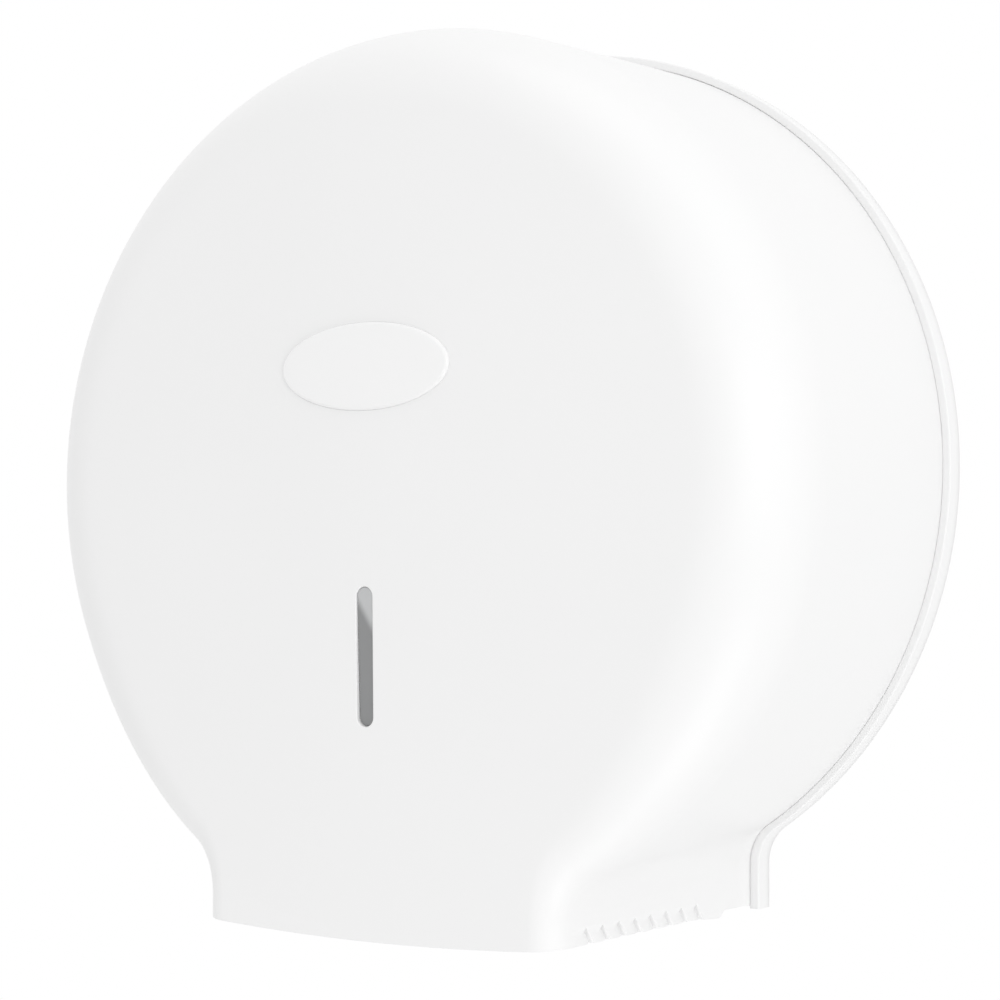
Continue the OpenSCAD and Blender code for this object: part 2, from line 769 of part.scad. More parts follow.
module lock_nut() {
    color("silver") difference() {
        translate([0, -lock_out, lock_boss_low - nut_t]) cylinder(d = nut_corners, h = nut_t, $fn = 6);
        lock_bar(housing_r + thread_gap, lock_boss_low - nut_t - over, lock_boss_low + over);
    }
}

module lock_barrel() {
    color("silver") difference() {
        union() {
            lock_bar(barrel_head_r, barrel_top - barrel_head_t, barrel_top);
            lock_bar(barrel_r, cam_top, barrel_top - barrel_head_t);
        }
        translate([-key_w / 2, -lock_out - key_len / 2, barrel_top - key_depth])
            cube([key_w, key_len, key_depth + over]);
        lock_bar(cam_screw_r + thread_gap, cam_top - over, cam_low + cam_screw_len);
    }
}

// At rest the cam points to the wall, clear of the keeper: turned a quarter it lies behind the finger.
module lock_cam() {
    run = cam_reach - cam_w / 2;
    color("silver") difference() {
        union() {
            lock_bar(cam_w / 2, cam_low, cam_top);
            translate([0, run, 0]) lock_bar(cam_w / 2, cam_low, cam_top);
            translate([-cam_w / 2, -lock_out, cam_low]) cube([cam_w, run, cam_t]);
        }
        lock_bar(cam_screw_r + hole_gap, cam_low - over, cam_top + over);
    }
}

module cam_screw() {
    color("silver") difference() {
        union() {
            lock_bar(cam_screw_r, cam_low, cam_low + cam_screw_len);
            lock_bar(cam_screw_head_r, cam_low - cam_screw_head_t, cam_low);
        }
        translate([0, -lock_out, cam_low - cam_screw_head_t - over])
            cylinder(r = cam_screw_r, h = cam_screw_head_t, $fn = 6);
    }
}

// Backing disc, drum for the paper core, and a ribbed sleeve that holds the two bushes.
module roll_hub() {
    rib_reach = drum_inner - sleeve_r + 2 * root;
    color("whitesmoke") difference() {
        union() {
            bar(disc_r, hub_back, disc_front);
            tube(drum_r, drum_inner, hub_back, drum_front);
            bar(sleeve_r, hub_back, sleeve_front);
            for (i = [0:rib_count - 1]) rotate([0, 360 * i / rib_count, 0])
                translate([sleeve_r - root, -sleeve_front, -rib_t / 2])
                    cube([rib_reach, sleeve_front - hub_back, rib_t]);
        }
        bar(bush_r, hub_back - over, sleeve_front + over);
        bar(bush_collar_r, hub_back - over, hub_back + bush_collar_t);
    }
}

module hub_bush_rear() {
    color("dimgray") difference() {
        union() {
            bar(bush_collar_r, hub_back, hub_back + bush_collar_t);
            bar(bush_r, hub_back, hub_back + bush_len);
        }
        bar(bush_bore, hub_back - over, hub_back + bush_len + over);
    }
}

module hub_bush_front() {
    front = sleeve_front + bush_collar_t;
    color("dimgray") difference() {
        union() {
            bar(bush_collar_r, sleeve_front, front);
            bar(bush_r, front - bush_len, front);
        }
        bar(bush_bore, front - bush_len - over, front + over);
    }
}

module hub_cap() {
    color("whitesmoke") bar(drum_inner - cap_gap, drum_front - cap_t, drum_front);
}

back_plate();
spindle_post();
spindle_screws();
friction_washer();
wave_spring();
hub_retainer();
hub_screw();
lock_keeper();
keeper_screws();
hinge_pin_left();
hinge_pin_right();
front_cover();
badge_plate();
badge_pad();
level_window();
window_rivets();
lock_housing();
lock_nut();
lock_barrel();
lock_cam();
cam_screw();
roll_hub();
hub_bush_rear();
hub_bush_front();
hub_cap();
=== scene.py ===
import json
import math

import bmesh
import bpy
from mathutils import Matrix, Vector


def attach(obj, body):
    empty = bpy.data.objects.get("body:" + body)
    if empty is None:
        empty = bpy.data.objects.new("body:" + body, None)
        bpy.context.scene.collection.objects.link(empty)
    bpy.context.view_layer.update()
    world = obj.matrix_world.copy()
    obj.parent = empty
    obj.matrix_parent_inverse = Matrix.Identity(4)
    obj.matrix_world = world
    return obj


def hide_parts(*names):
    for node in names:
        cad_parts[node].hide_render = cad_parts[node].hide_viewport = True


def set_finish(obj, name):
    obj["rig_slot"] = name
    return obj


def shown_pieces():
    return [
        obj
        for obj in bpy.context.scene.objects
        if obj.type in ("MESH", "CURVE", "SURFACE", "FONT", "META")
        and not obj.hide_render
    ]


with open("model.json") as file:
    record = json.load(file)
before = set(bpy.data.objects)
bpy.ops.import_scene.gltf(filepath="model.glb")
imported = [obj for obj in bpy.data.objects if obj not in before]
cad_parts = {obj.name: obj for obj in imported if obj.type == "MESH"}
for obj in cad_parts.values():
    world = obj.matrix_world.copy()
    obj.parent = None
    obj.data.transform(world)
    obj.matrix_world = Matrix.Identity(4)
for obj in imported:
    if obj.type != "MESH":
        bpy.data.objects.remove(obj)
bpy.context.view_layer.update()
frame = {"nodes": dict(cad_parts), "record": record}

# Jumbo toilet roll dispenser: the finish of every piece, with finer shells than the solids'.
# Lengths are in millimetres until a mesh is made, in the frame's axes: X right, Y into the wall, Z up.
# A depth is counted from the wall towards -Y.
MM = 0.001

# ---------------------------------------------------------------- sizes (mm)
# Tray
TRAY_R = 135.0
TRAY_NECK = 72.0
TRAY_LOW = TRAY_R + 1.5
# How much higher than the solid's the tray's lower end is
TRAY_TRIM = 1.2
TRAY_T = 2.5
RIM_DEPTH = 7.8
RIM_T = 2.0
NECK_RIM_T = 2.5
TRAY_BLEND = 14.0
# Gap between the rim and the cover, finer than between the solids, how much wider it is at the top, and how
# fast that fades downwards
SEAM_GAP = 0.02
SEAM_TOP_GAP = 0.12
SEAM_FADE = 4
# The rim's outer side with its rounded edges, from the wall and from the front: how far each point lies
# inside the outer surface, as a share of the rim's thickness, and how far it is from the wall or the front
RIM_BACK_ROUND = ((0.45, 0.0), (0.13, 0.24), (0.0, 0.8), (0.0, 4.0))
RIM_FRONT_ROUND = ((0.0, 0.6), (0.015, 0.38), (0.06, 0.18), (0.12, 0.06), (0.2, 0.0), (0.26, 0.0))
# The fillet inside the rim: shares of the thickness and heights over the tray's floor
RIM_FILLET = ((1.0, 0.9), (1.12, 0.3), (1.4, 0.0))
# The rim's flat front ends by this share of the thickness before the slope starts
RIM_FLAT_END = 0.06
# The rim's inner front edge falls off to the seam: width and height of the slope, round the circle and beside
# the neck, and how far round its arc goes
RIM_SLOPE = (0.35, 0.2)
NECK_RIM_SLOPE = (1.0, 0.45)
RIM_SLOPE_TURN = 40.0
RING_R = 112.0
RING_T = 2.0
RING_H = 3.0
# Rounded edges of the ring and the spindle pad
RAISED_ROUND = 0.6
SCREW_X = 75.0
SCREW_Z = 62.0
WALL_HOLE_R = 2.75
COLLAR_R = 8.0
COLLAR_H = 2.0
COLLAR_ROUND = 0.7
SPINDLE_PAD_R = 32.0
SPINDLE_PAD = 5.0
FLANGE_SCREW_RING = 24.0
FLANGE_SCREW_R = 2.05

# Hinge
SEAT_GAP = 0.5
HINGE_OUT = 6.5
HINGE_DEPTH = TRAY_T + HINGE_OUT
HINGE_Z = 8.0 - TRAY_LOW
HEEL_R = HINGE_OUT - SEAT_GAP
BOSS_R = HEEL_R - 0.4
BOSS_STAND = 3.0
BOSS_SINK = 0.3
PIN_R = 2.0
PIN_BORE_R = 2.05
PIN_SKIN = 1.0
EAR_GAP = 0.6
EAR_T = 4.0
EAR_ROUND = 0.5
LUG_DROP = 1.1
LUG_START = HINGE_DEPTH + HEEL_R + 5.0
LUG_FULL = LUG_START + 3.0
LUG_END = LUG_FULL + 15.0

# Cover
COVER_T = 2.7
RIM_GAP = 0.5
NECK_GAP = 0.5
NECK_FLARE = 1.4
# The cover is straight to just past the rim's depth, so that it slides out of the rim
STRAIGHT_DEPTH = RIM_DEPTH + 0.2
# The depth at which the neck's flare is full and how fast it fades to the front: here, and in the solid
FLARE_FULL = STRAIGHT_DEPTH
FLARE_CURVE = 5.0
SOLID_FLARE_FULL = HINGE_DEPTH - HEEL_R / 2
SOLID_FLARE_CURVE = 5.5
COVER_BACK = TRAY_T + SEAT_GAP
FACE_DEPTH = 111.5
DOME = 2.5
COVER_R = TRAY_R - RIM_T - RIM_GAP
COVER_NECK = TRAY_NECK - NECK_RIM_T - NECK_GAP - NECK_FLARE
COVER_LOW = TRAY_LOW - 1.0
ROUND_DRAFT = 1.2
NECK_DRAFT = 6.1
FRONT_DROP = 4.2
COVER_BLEND = 15.0
EDGE_R = 25.0
NECK_EDGE_R = 8.0
CHIN_BOW = 2.3
LIP_R = 0.45
# Edges sharper than this get the lip's rounding
LIP_ANGLE = 60.0
# Depths of the wall's rows of points past the lugs
WALL_ROWS = (50.0, 62.0, 74.0)

# Level slot and its strip
SLOT_W = 5.6
SLOT_LEN = 40.0
SLOT_Z = -56.4
SLOT_ROUND = 0.4
STRIP_W = 16.0
STRIP_T = 1.5
STRIP_GAP = 0.3
STRIP_EDGE = 0.25
STUD_STEP = 5.5
STRIP_END = 6.0
STUD_R = 1.4
STUD_HOLE_GAP = 0.15
STUD_HEAD_R = 3.0
LAND_GAP = 0.1
# The land lies under the face by this much at the slot's upper end and at its lower end
LAND_SINK = (0.4, 1.3)
LAND_ROUND = 0.3

# Badge
BADGE_W = 59.0
BADGE_H = 25.5
BADGE_Z = 26.8
BADGE_T = 1.9
BADGE_EDGE = 1.2
BADGE_CROWN = 0.25
POCKET_CUT = 1.1
POCKET_GAP = -0.01
POCKET_ROUND = 0.1
PAD_T = 0.4

# Lock and keeper
LOCK_DEPTH = 24.0
LOCK_SINK = 1.0
LOCK_FLANGE_R = 10.0
LOCK_FLANGE_T = 1.5
LOCK_FLANGE_GAP = 0.2
LOCK_MOUTH_ROUND = 0.5
LOCK_BODY_HOLE = 7.65
LOCK_BODY_LEN = 12.5
LOCK_BOSS_R = 12.0
LOCK_BOSS_H = 4.5
CAM_GAP = 0.3
CAM_T = 1.8
KEEPER_X = 18.0
FOOT_LEN = 20.0
FOOT_H = 10.0
FOOT_PAD_H = 3.0
PAD_EDGE = 1.0
KEEPER_SCREW_X = (KEEPER_X + 6.0, KEEPER_X + 15.5)
KEEPER_SCREW_R = 1.8

# Tear teeth
TOOTH_COUNT = 8
TOOTH_PITCH = 8.3
TOOTH_START = 36.5
TOOTH_H = 4.8
TOOTH_CUT = 1.2
TOOTH_RAMP = 3.4
TOOTH_SLANT = 38.0
TOOTH_EDGE = 0.35

# Roll hub
DISC_R = 89.0
DISC_BACK = 10.8
DISC_FRONT = 12.6
DRUM_R = 27.5
DRUM_T = 2.0
DRUM_FRONT = 99.0
SLEEVE_R = 15.8
SLEEVE_FRONT = 88.0
BUSH_R = 13.0
BUSH_COLLAR_R = 14.3
BUSH_COLLAR_T = 1.2
RIB_COUNT = 6
RIB_T = 2.0
CAP_R = 25.35
CAP_T = 2.5
# Depth of the dish in its face and width of the flat rim round it
CAP_DISH = 0.7
CAP_RIM = 4.0

# Keeps two flat faces that are joined from lying in one plane
PLANE_GAP = 0.02
# Points closer together than this are joined
WELD = 0.0005
# How far a cutting tool reaches past what it cuts
OVERSHOOT = 1.0
# Steps of the cover's mesh
HEEL_STEPS = 9
NECK_STEPS = 10
BLEND_STEPS = 12
ROUND_STEPS = 132
EDGE_STEPS = 20
FACE_STEPS = 26
# The edge radius grows from the neck's to the circle's over the blend and this share of the round part
EDGE_FADE = 0.25
# Share of that growth which falls on the blend
BLEND_SHARE = 5 / 13
# How fast the face's middle line climbs against the outline beside it
SPINE_SHARE = 0.7


# ---------------------------------------------------------------- small helpers
def mix(a, b, t):
    return a + (b - a) * t


def clamp(t):
    return max(0.0, min(1.0, t))


def smooth(t):
    """Eases from 0 to 1 as t goes from 0 to 1."""
    t = clamp(t)
    return t * t * (3 - 2 * t)


def turn(degrees):
    """The angle's cosine and sine."""
    a = math.radians(degrees)
    return math.cos(a), math.sin(a)


def mesh_object(name, points, faces):
    """A mesh object from points in millimetres, with its faces turned outwards."""
    mesh = bpy.data.meshes.new(name)
    mesh.from_pydata([Vector(p) * MM for p in points], [], faces)
    obj = bpy.data.objects.new(name, mesh)
    bpy.context.scene.collection.objects.link(obj)
    edit(obj, lambda bm: bmesh.ops.recalc_face_normals(bm, faces=bm.faces))
    return obj


def edit(obj, change):
    """Runs change on obj's mesh as a bmesh."""
    bm = bmesh.new()
    bm.from_mesh(obj.data)
    change(bm)
    bm.to_mesh(obj.data)
    bm.free()
    obj.data.update()


def apply_modifiers(obj):
    """Replaces obj's mesh by what its modifiers make of it."""
    graph = bpy.context.evaluated_depsgraph_get()
    graph.update()
    mesh = bpy.data.meshes.new_from_object(obj.evaluated_get(graph))
    obj.modifiers.clear()
    old = obj.data
    obj.data = mesh
    bpy.data.meshes.remove(old)
    mesh.name = obj.name


def close_slivers(bm):
    """Joins points that lie together, and closes the hairline gaps that this leaves."""
    bmesh.ops.remove_doubles(bm, verts=bm.verts, dist=WELD * MM)
    bmesh.ops.dissolve_degenerate(bm, edges=bm.edges, dist=WELD * MM)
    bmesh.ops.holes_fill(bm, edges=[e for e in bm.edges if e.is_boundary], sides=6)
    bmesh.ops.delete(bm, geom=[e for e in bm.edges if e.is_wire], context="EDGES")
    bmesh.ops.recalc_face_normals(bm, faces=bm.faces)


def sharp_edges(bm, angle):
    """The edges where two faces meet at more than the angle."""
    return [e for e in bm.edges if len(e.link_faces) == 2 and e.calc_face_angle() > math.radians(angle)]


def combine(obj, tools, operation):
    """Adds the tools to obj, or cuts them out of it, all at once, and deletes them."""
    group = bpy.data.collections.new("tools")
    for tool in tools:
        group.objects.link(tool)
    modifier = obj.modifiers.new("tools", "BOOLEAN")
    modifier.operation = operation
    modifier.solver = "EXACT"
    modifier.operand_type = "COLLECTION"
    modifier.collection = group
    apply_modifiers(obj)
    for tool in tools:
        bpy.data.objects.remove(tool)
    bpy.data.collections.remove(group)
    edit(obj, close_slivers)


def shade(obj, angle=32):
    """Smooth shading with a sharp line wherever faces meet at more than the angle."""
    mesh = obj.data
    mesh.polygons.foreach_set("use_smooth", [True] * len(mesh.polygons))
    mesh.set_sharp_from_angle(angle=math.radians(angle))


def lattice(rows, row_len, start=0, closed=False):
    """Quads over a lattice of points, row after row; closed joins each row's end to its start."""
    faces = []
    for k in range(rows - 1):
        for i in range(row_len if closed else row_len - 1):
            a, b = start + k * row_len + i, start + k * row_len + (i + 1) % row_len
            faces.append((a, a + row_len, b + row_len, b))
    return faces


def stacked_loops(name, loops):
    """A solid whose skin runs through the loops in order, closed by a face at each end."""
    size = len(loops[0])
    points = [p for loop in loops for p in loop]
    faces = lattice(len(loops), size, closed=True)
    faces.append(tuple(range(size)))
    faces.append(tuple(range(size * (len(loops) - 1), size * len(loops))))
    return mesh_object(name, points, faces)


def round_point(axis, place, along, across, up):
    """A point by its coordinate along an axis (X, Y or Z, through place) and its two distances from it."""
    if axis == "X":
        return along, place[1] + across, place[2] + up
    if axis == "Y":
        return place[0] + across, along, place[2] + up
    return place[0] + across, place[1] + up, along


def bar(name, r, low, high, place, axis, steps=96):
    """A round bar along X, Y or Z: place is a point on its axis, low and high are coordinates along it."""
    loops = []
    for along in (low, high):
        loop = []
        for i in range(steps):
            c, s = turn(360 * (i + 0.5) / steps)
            loop.append(round_point(axis, place, along, r * c, r * s))
        loops.append(loop)
    return stacked_loops(name, loops)


def block(name, x, y, z):
    """A box between two values on each axis."""
    points = [(a, b, c) for c in z for b in y for a in x]
    faces = [(0, 1, 3, 2), (4, 6, 7, 5), (0, 4, 5, 1), (2, 3, 7, 6), (0, 2, 6, 4), (1, 5, 7, 3)]
    return mesh_object(name, points, faces)


def soften(corners, steps=4):
    """A closed outline with its corners rounded: each corner is two coordinates and a radius."""
    points = []
    for i, (a, b, r) in enumerate(corners):
        here = Vector((a, b))
        if r == 0:
            points.append((a, b))
            continue
        before, after = (Vector(corners[(i + k) % len(corners)][:2]) - here for k in (-1, 1))
        start, end = here + before.normalized() * r, here + after.normalized() * r
        for k in range(steps + 1):
            t = k / steps
            points.append(tuple(start * (1 - t) ** 2 + here * 2 * t * (1 - t) + end * t * t))
    return points


def turned(name, corners, axis="Y", place=(0, 0, 0), steps=128):
    """A closed outline of radius, place along the axis and rounding at each corner, revolved."""
    profile = soften(corners)
    size = len(profile)
    points = []
    for i in range(steps):
        c, s = turn(360 * (i + 0.5) / steps)
        points += [round_point(axis, place, along, r * c, r * s) for r, along in profile]
    faces = []
    for i in range(steps):
        a, b = i * size, (i + 1) % steps * size
        faces += [(a + k, a + (k + 1) % size, b + (k + 1) % size, b + k) for k in range(size)]
    obj = mesh_object(name, points, faces)
    edit(obj, close_slivers)
    return obj


def finished(obj, node, body, slot, angle=32):
    """Shades a piece, hides the CAD node it replaces, and sets what it moves with and what it is made of."""
    shade(obj, angle)
    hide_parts(node)
    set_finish(obj, slot)
    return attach(obj, body)


# ---------------------------------------------------------------- the cover's surface
def forward(depth):
    """Share of the way from the cover's back to its face; the part inside the rim counts as one depth."""
    return (max(depth, STRAIGHT_DEPTH) - COVER_BACK) / (FACE_DEPTH - COVER_BACK)


def round_at(depth):
    """Radius of the cover's round part."""
    return COVER_R - ROUND_DRAFT * forward(depth)


def neck_at(depth, full=FLARE_FULL, curve=FLARE_CURVE):
    """Half the neck's width, with its flare towards the wall."""
    flare = clamp((LUG_START - depth) / (LUG_START - full)) ** curve
    return COVER_NECK - NECK_DRAFT * forward(depth) + NECK_FLARE * flare


def solid_neck_at(depth):
    """The solid's neck, which the hinge's places follow."""
    return neck_at(depth, SOLID_FLARE_FULL, SOLID_FLARE_CURVE)


def centre_at(depth):
    """Height of the round part's centre, which sinks towards the front."""
    return -FRONT_DROP * forward(depth)


def face_at(x, z):
    """Depth of the domed front face."""
    away = (x * x + (z - centre_at(FACE_DEPTH)) ** 2) / round_at(FACE_DEPTH) ** 2
    return FACE_DEPTH + DOME * clamp(1 - away)


def outline(u, r, half, blend, mid, low):
    """Right half of a round part with a neck: u is 0 to 1 up the neck, 1 to 2 round the hollow blend, and
    2 to 3 round the circle to its top."""
    across = half + blend
    turn_z = mid - math.sqrt((r + blend) ** 2 - across ** 2)
    angle = math.degrees(math.atan2(mid - turn_z, -across))
    if u <= 1:
        return half, mix(low, turn_z, u)
    if u <= 2:
        c, s = turn(mix(180, angle, u - 1))
        return across + blend * c, turn_z + blend * s
    c, s = turn(mix(angle - 180, 90, u - 2))
    return r * c, mid + r * s


def cover_outline(u, depth, inset, low):
    """The cover's outline at a depth, moved inwards by inset, with its neck down to low."""
    return outline(u, round_at(depth) - inset, neck_at(depth) - inset, COVER_BLEND + inset, centre_at(depth),
                   low)


def edge_radius(u):
    """Radius of the front edge's rounding: small along the neck, large round the circle."""
    fade = BLEND_SHARE * clamp(u - 1) + (1 - BLEND_SHARE) * max(0.0, u - 2) / EDGE_FADE
    return mix(NECK_EDGE_R, EDGE_R, smooth(fade))


def outline_steps(neck, blend, circle):
    """The values of u along one half of an outline."""
    steps = [i / neck for i in range(neck)]
    steps += [1 + i / blend for i in range(blend)]
    return steps + [2 + i / circle for i in range(circle + 1)]


def wall_point(row, u, t):
    """A point of the cover's wall, t under its outer surface. The first rows turn round the hinge's heel."""
    if row <= HEEL_STEPS:
        c, s = turn(90 * row / HEEL_STEPS)
        even = mix(COVER_BACK, HINGE_DEPTH, row / HEEL_STEPS)
        depth, low = mix(HINGE_DEPTH - HEEL_R * c, even, clamp(u)), HINGE_Z - HEEL_R * s
    else:
        depth = LOWER_EDGE[row - HEEL_STEPS - 1][0]
        low = LOWER_EDGE[row - HEEL_STEPS - 1][1]
    x, z = cover_outline(u, depth, t, low)
    return x, -depth, z


def front_point(row, u, t):
    """A point past the wall, t under the outer surface: round the front edge, then over the face."""
    c, s = turn(90 * clamp(row / EDGE_STEPS))
    edge = edge_radius(u)
    bend = edge - t
    x, z = cover_outline(u, FACE_DEPTH - edge + bend * s, t + bend * (1 - c), -COVER_LOW)
    out = 1 - max(0, row - EDGE_STEPS) / FACE_STEPS
    x *= out
    z = mix(mix(-COVER_LOW, z, SPINE_SHARE), z, out)
    z -= CHIN_BOW * clamp(1 - u) * clamp(1 - (x / neck_at(FACE_DEPTH)) ** 2)
    return x, -(FACE_DEPTH - edge + bend * s) - (face_at(x, z) - FACE_DEPTH), z


def lower_edge():
    """Depth and height of the cover's bottom edge past the heel: straight, down to the lug, and its fade."""
    heel_low, lug_low = HINGE_Z - HEEL_R, -COVER_LOW - LUG_DROP
    stations = [(mix(HINGE_DEPTH, LUG_START, share), heel_low)
                for share in (0.12, 0.27, 0.45, 0.7, 1.0)]
    for share in (0.25, 0.5, 0.75, 1.0):
        stations.append((mix(LUG_START, LUG_FULL, share), mix(heel_low, lug_low, smooth(share))))
    for share in (0.35, 0.7, 1.0):
        stations.append((mix(LUG_FULL, LUG_END, share), mix(lug_low, -COVER_LOW, smooth(share))))
    return stations + [(depth, -COVER_LOW) for depth in WALL_ROWS]


LOWER_EDGE = lower_edge()

# Places that follow from the cover's surface
BOSS_INNER = solid_neck_at(HINGE_DEPTH) - COVER_T - BOSS_STAND
BOSS_OUTER = solid_neck_at(HINGE_DEPTH + BOSS_R) - BOSS_SINK
PIN_HOLE_END = solid_neck_at(HINGE_DEPTH + BOSS_R) - PIN_SKIN
EAR_OUTER = BOSS_INNER - EAR_GAP
LOCK_TOP = round_at(LOCK_DEPTH) + centre_at(LOCK_DEPTH)
LOCK_SEAT = LOCK_TOP - LOCK_SINK - LOCK_FLANGE_T
LOCK_BOSS_LOW = LOCK_TOP - COVER_T - LOCK_BOSS_H
KEEPER_Z = LOCK_SEAT - LOCK_BODY_LEN - CAM_GAP - CAM_T / 2
STUD_Z = (SLOT_Z - SLOT_LEN / 2 - STUD_STEP, SLOT_Z + SLOT_LEN / 2 + STUD_STEP)
STRIP_FRONT = face_at(STRIP_W / 2, STUD_Z[0] - STRIP_END) - COVER_T - STRIP_GAP
POCKET_FLOOR = face_at(0, BADGE_Z) - POCKET_CUT
BADGE_BACK = POCKET_FLOOR + PAD_T


def cover_shell():
    """The smooth skin, open at the back and at the bottom, with a rounded lip round both openings."""
    half = outline_steps(NECK_STEPS, BLEND_STEPS, ROUND_STEPS)
    columns = [(u, 1) for u in half] + [(u, -1) for u in reversed(half[:-1])]
    wall_rows = HEEL_STEPS + 1 + len(LOWER_EDGE)
    rows = wall_rows + EDGE_STEPS + FACE_STEPS + 1
    size = len(columns)
    points = []
    for t in (0.0, COVER_T):
        for row in range(rows):
            for u, side in columns:
                x, y, z = wall_point(row, u, t) if row < wall_rows else front_point(row - wall_rows, u, t)
                points.append((side * x, y, z))
    inner = rows * size
    faces = lattice(rows, size) + [tuple(reversed(f)) for f in lattice(rows, size, inner)]
    border = [(rows - 1 - k) * size for k in range(rows)] + list(range(1, size))
    border += [k * size + size - 1 for k in range(1, rows)]
    faces += [(a, b, b + inner, a + inner) for a, b in zip(border, border[1:])]
    shell = mesh_object("front_cover_shell", points, faces)

    def finish(bm):
        close_slivers(bm)
        bmesh.ops.bevel(bm, geom=sharp_edges(bm, LIP_ANGLE), offset=LIP_R * MM, segments=3, profile=0.5,
                        affect="EDGES", clamp_overlap=True)

    edit(shell, finish)
    return shell


# ---------------------------------------------------------------- cutters
def slot_loop(grow, depth_of, steps=21):
    """The slot's round-ended outline, grown outwards, at the depth that depth_of gives."""
    r = SLOT_W / 2 + grow
    run = (SLOT_LEN - SLOT_W) / 2
    loop = []
    for end in (1, -1):
        for i in range(steps + 1):
            c, s = turn(180 * i / steps)
            x, z = end * r * c, SLOT_Z + end * (run + r * s)
            loop.append((x, -depth_of(x, z), z))
    return loop


def oval_loop(w, h, depth_of, steps=120):
    """The badge's oval outline, w wide and h high, at the depth that depth_of gives."""
    loop = []
    for i in range(steps):
        c, s = turn(360 * (i + 0.5) / steps)
        x, z = w / 2 * c, BADGE_Z + h / 2 * s
        loop.append((x, -depth_of(x, z), z))
    return loop


def rounded_mouth(r, steps=5):
    """Pairs of growth and depth under the surface that round a cut's edge, from outside inwards."""
    pairs = []
    for i in range(steps + 1):
        c, s = turn(mix(-12, 90, i / steps))
        pairs.append((r * (1 - s), r * (1 - c)))
    return pairs


def slot_cutter():
    loops = [slot_loop(1.25 * SLOT_ROUND, lambda x, z: face_at(x, z) + 1)]
    for grow, sunk in rounded_mouth(SLOT_ROUND):
        loops.append(slot_loop(grow, lambda x, z, sunk=sunk: face_at(x, z) - sunk))
    loops.append(slot_loop(0, lambda x, z: FACE_DEPTH - 2))
    return stacked_loops("slot_cutter", loops)


def pocket_cutter():
    w, h = BADGE_W + 2 * POCKET_GAP, BADGE_H + 2 * POCKET_GAP
    loops = [oval_loop(w + 2.5 * POCKET_ROUND, h + 2.5 * POCKET_ROUND, lambda x, z: face_at(x, z) + 1)]
    for grow, sunk in rounded_mouth(POCKET_ROUND):
        loops.append(oval_loop(w + 2 * grow, h + 2 * grow, lambda x, z, sunk=sunk: face_at(x, z) - sunk))
    loops.append(oval_loop(w, h, lambda x, z: POCKET_FLOOR))
    return stacked_loops("pocket_cutter", loops)


def tooth_cutter(depth, side):
    """The notch in front of one tear tooth: a ramp that sinks towards the wall, and a steep front step."""
    wall = neck_at(depth)
    out = TOOTH_CUT + OVERSHOOT
    section = [(wall - TOOTH_CUT, 0), (wall - TOOTH_EDGE, 0), (wall - 0.3 * TOOTH_EDGE, 0.12 * TOOTH_EDGE),
               (wall + 0.05, TOOTH_EDGE), (wall + OVERSHOOT, 1.6 * TOOTH_EDGE),
               (wall + OVERSHOOT, -TOOTH_RAMP * out / TOOTH_CUT)]
    c, s = turn(TOOTH_SLANT)
    loops = []
    for along in (0.0, -2 * TOOTH_H):
        loops.append([(side * x, -depth + y * c - along * s, TOOTH_H - COVER_LOW + y * s + along * c)
                      for x, y in section])
    return stacked_loops("tooth_cutter", loops)


def lock_recess():
    """Room for the lock's flange in the cover's top, with a rounded mouth that follows the top's curve."""
    steps = 72
    loops = []
    for grow, sunk in [(1.2, -2.0)] + rounded_mouth(LOCK_MOUTH_ROUND):
        loop = []
        for i in range(steps):
            c, s = turn(360 / steps * (i + 0.5))
            r = LOCK_FLANGE_R + LOCK_FLANGE_GAP + grow
            x, depth = r * c, LOCK_DEPTH - r * s
            top = centre_at(depth) + math.sqrt(round_at(depth) ** 2 - x * x)
            loop.append((x, -depth, top - sunk))
        loops.append(loop)
    loops.append([(x, y, LOCK_SEAT) for x, y, _ in loops[-1]])
    return stacked_loops("lock_recess", loops)


# ---------------------------------------------------------------- pieces
def front_cover():
    """The cover: its shell with the bosses, the slot, the badge's pocket, the lock's seat and the teeth."""
    cover = cover_shell()
    hinge = (0, -HINGE_DEPTH, HINGE_Z)
    lock = (0, -LOCK_DEPTH, 0)
    bosses = [bar("boss", BOSS_R, *span, hinge, "X", 64)
              for span in ((BOSS_INNER, BOSS_OUTER), (-BOSS_OUTER, -BOSS_INNER))]
    bosses.append(bar("lock_boss", LOCK_BOSS_R, LOCK_BOSS_LOW, LOCK_SEAT, lock, "Z"))
    for z in STUD_Z:
        stud_front = face_at(0, z) - COVER_T / 2
        bosses.append(bar("stud_boss", STUD_HEAD_R, -stud_front, -STRIP_FRONT, (0, 0, z), "Y", 48))
    combine(cover, bosses, "UNION")
    cuts = [slot_cutter(), pocket_cutter(), lock_recess()]
    cuts.append(bar("lock_hole", LOCK_BODY_HOLE, LOCK_BOSS_LOW - 1, LOCK_SEAT + 1, lock, "Z"))
    cuts += [bar("pin_hole", PIN_BORE_R, *span, hinge, "X", 48)
             for span in ((BOSS_INNER - 1, PIN_HOLE_END), (-PIN_HOLE_END, 1 - BOSS_INNER))]
    for side in (1, -1):
        cuts += [tooth_cutter(TOOTH_START + i * TOOTH_PITCH, side) for i in range(TOOTH_COUNT)]
    combine(cover, cuts, "DIFFERENCE")
    return finished(cover, "front_cover", "cover", "cover_plastic")


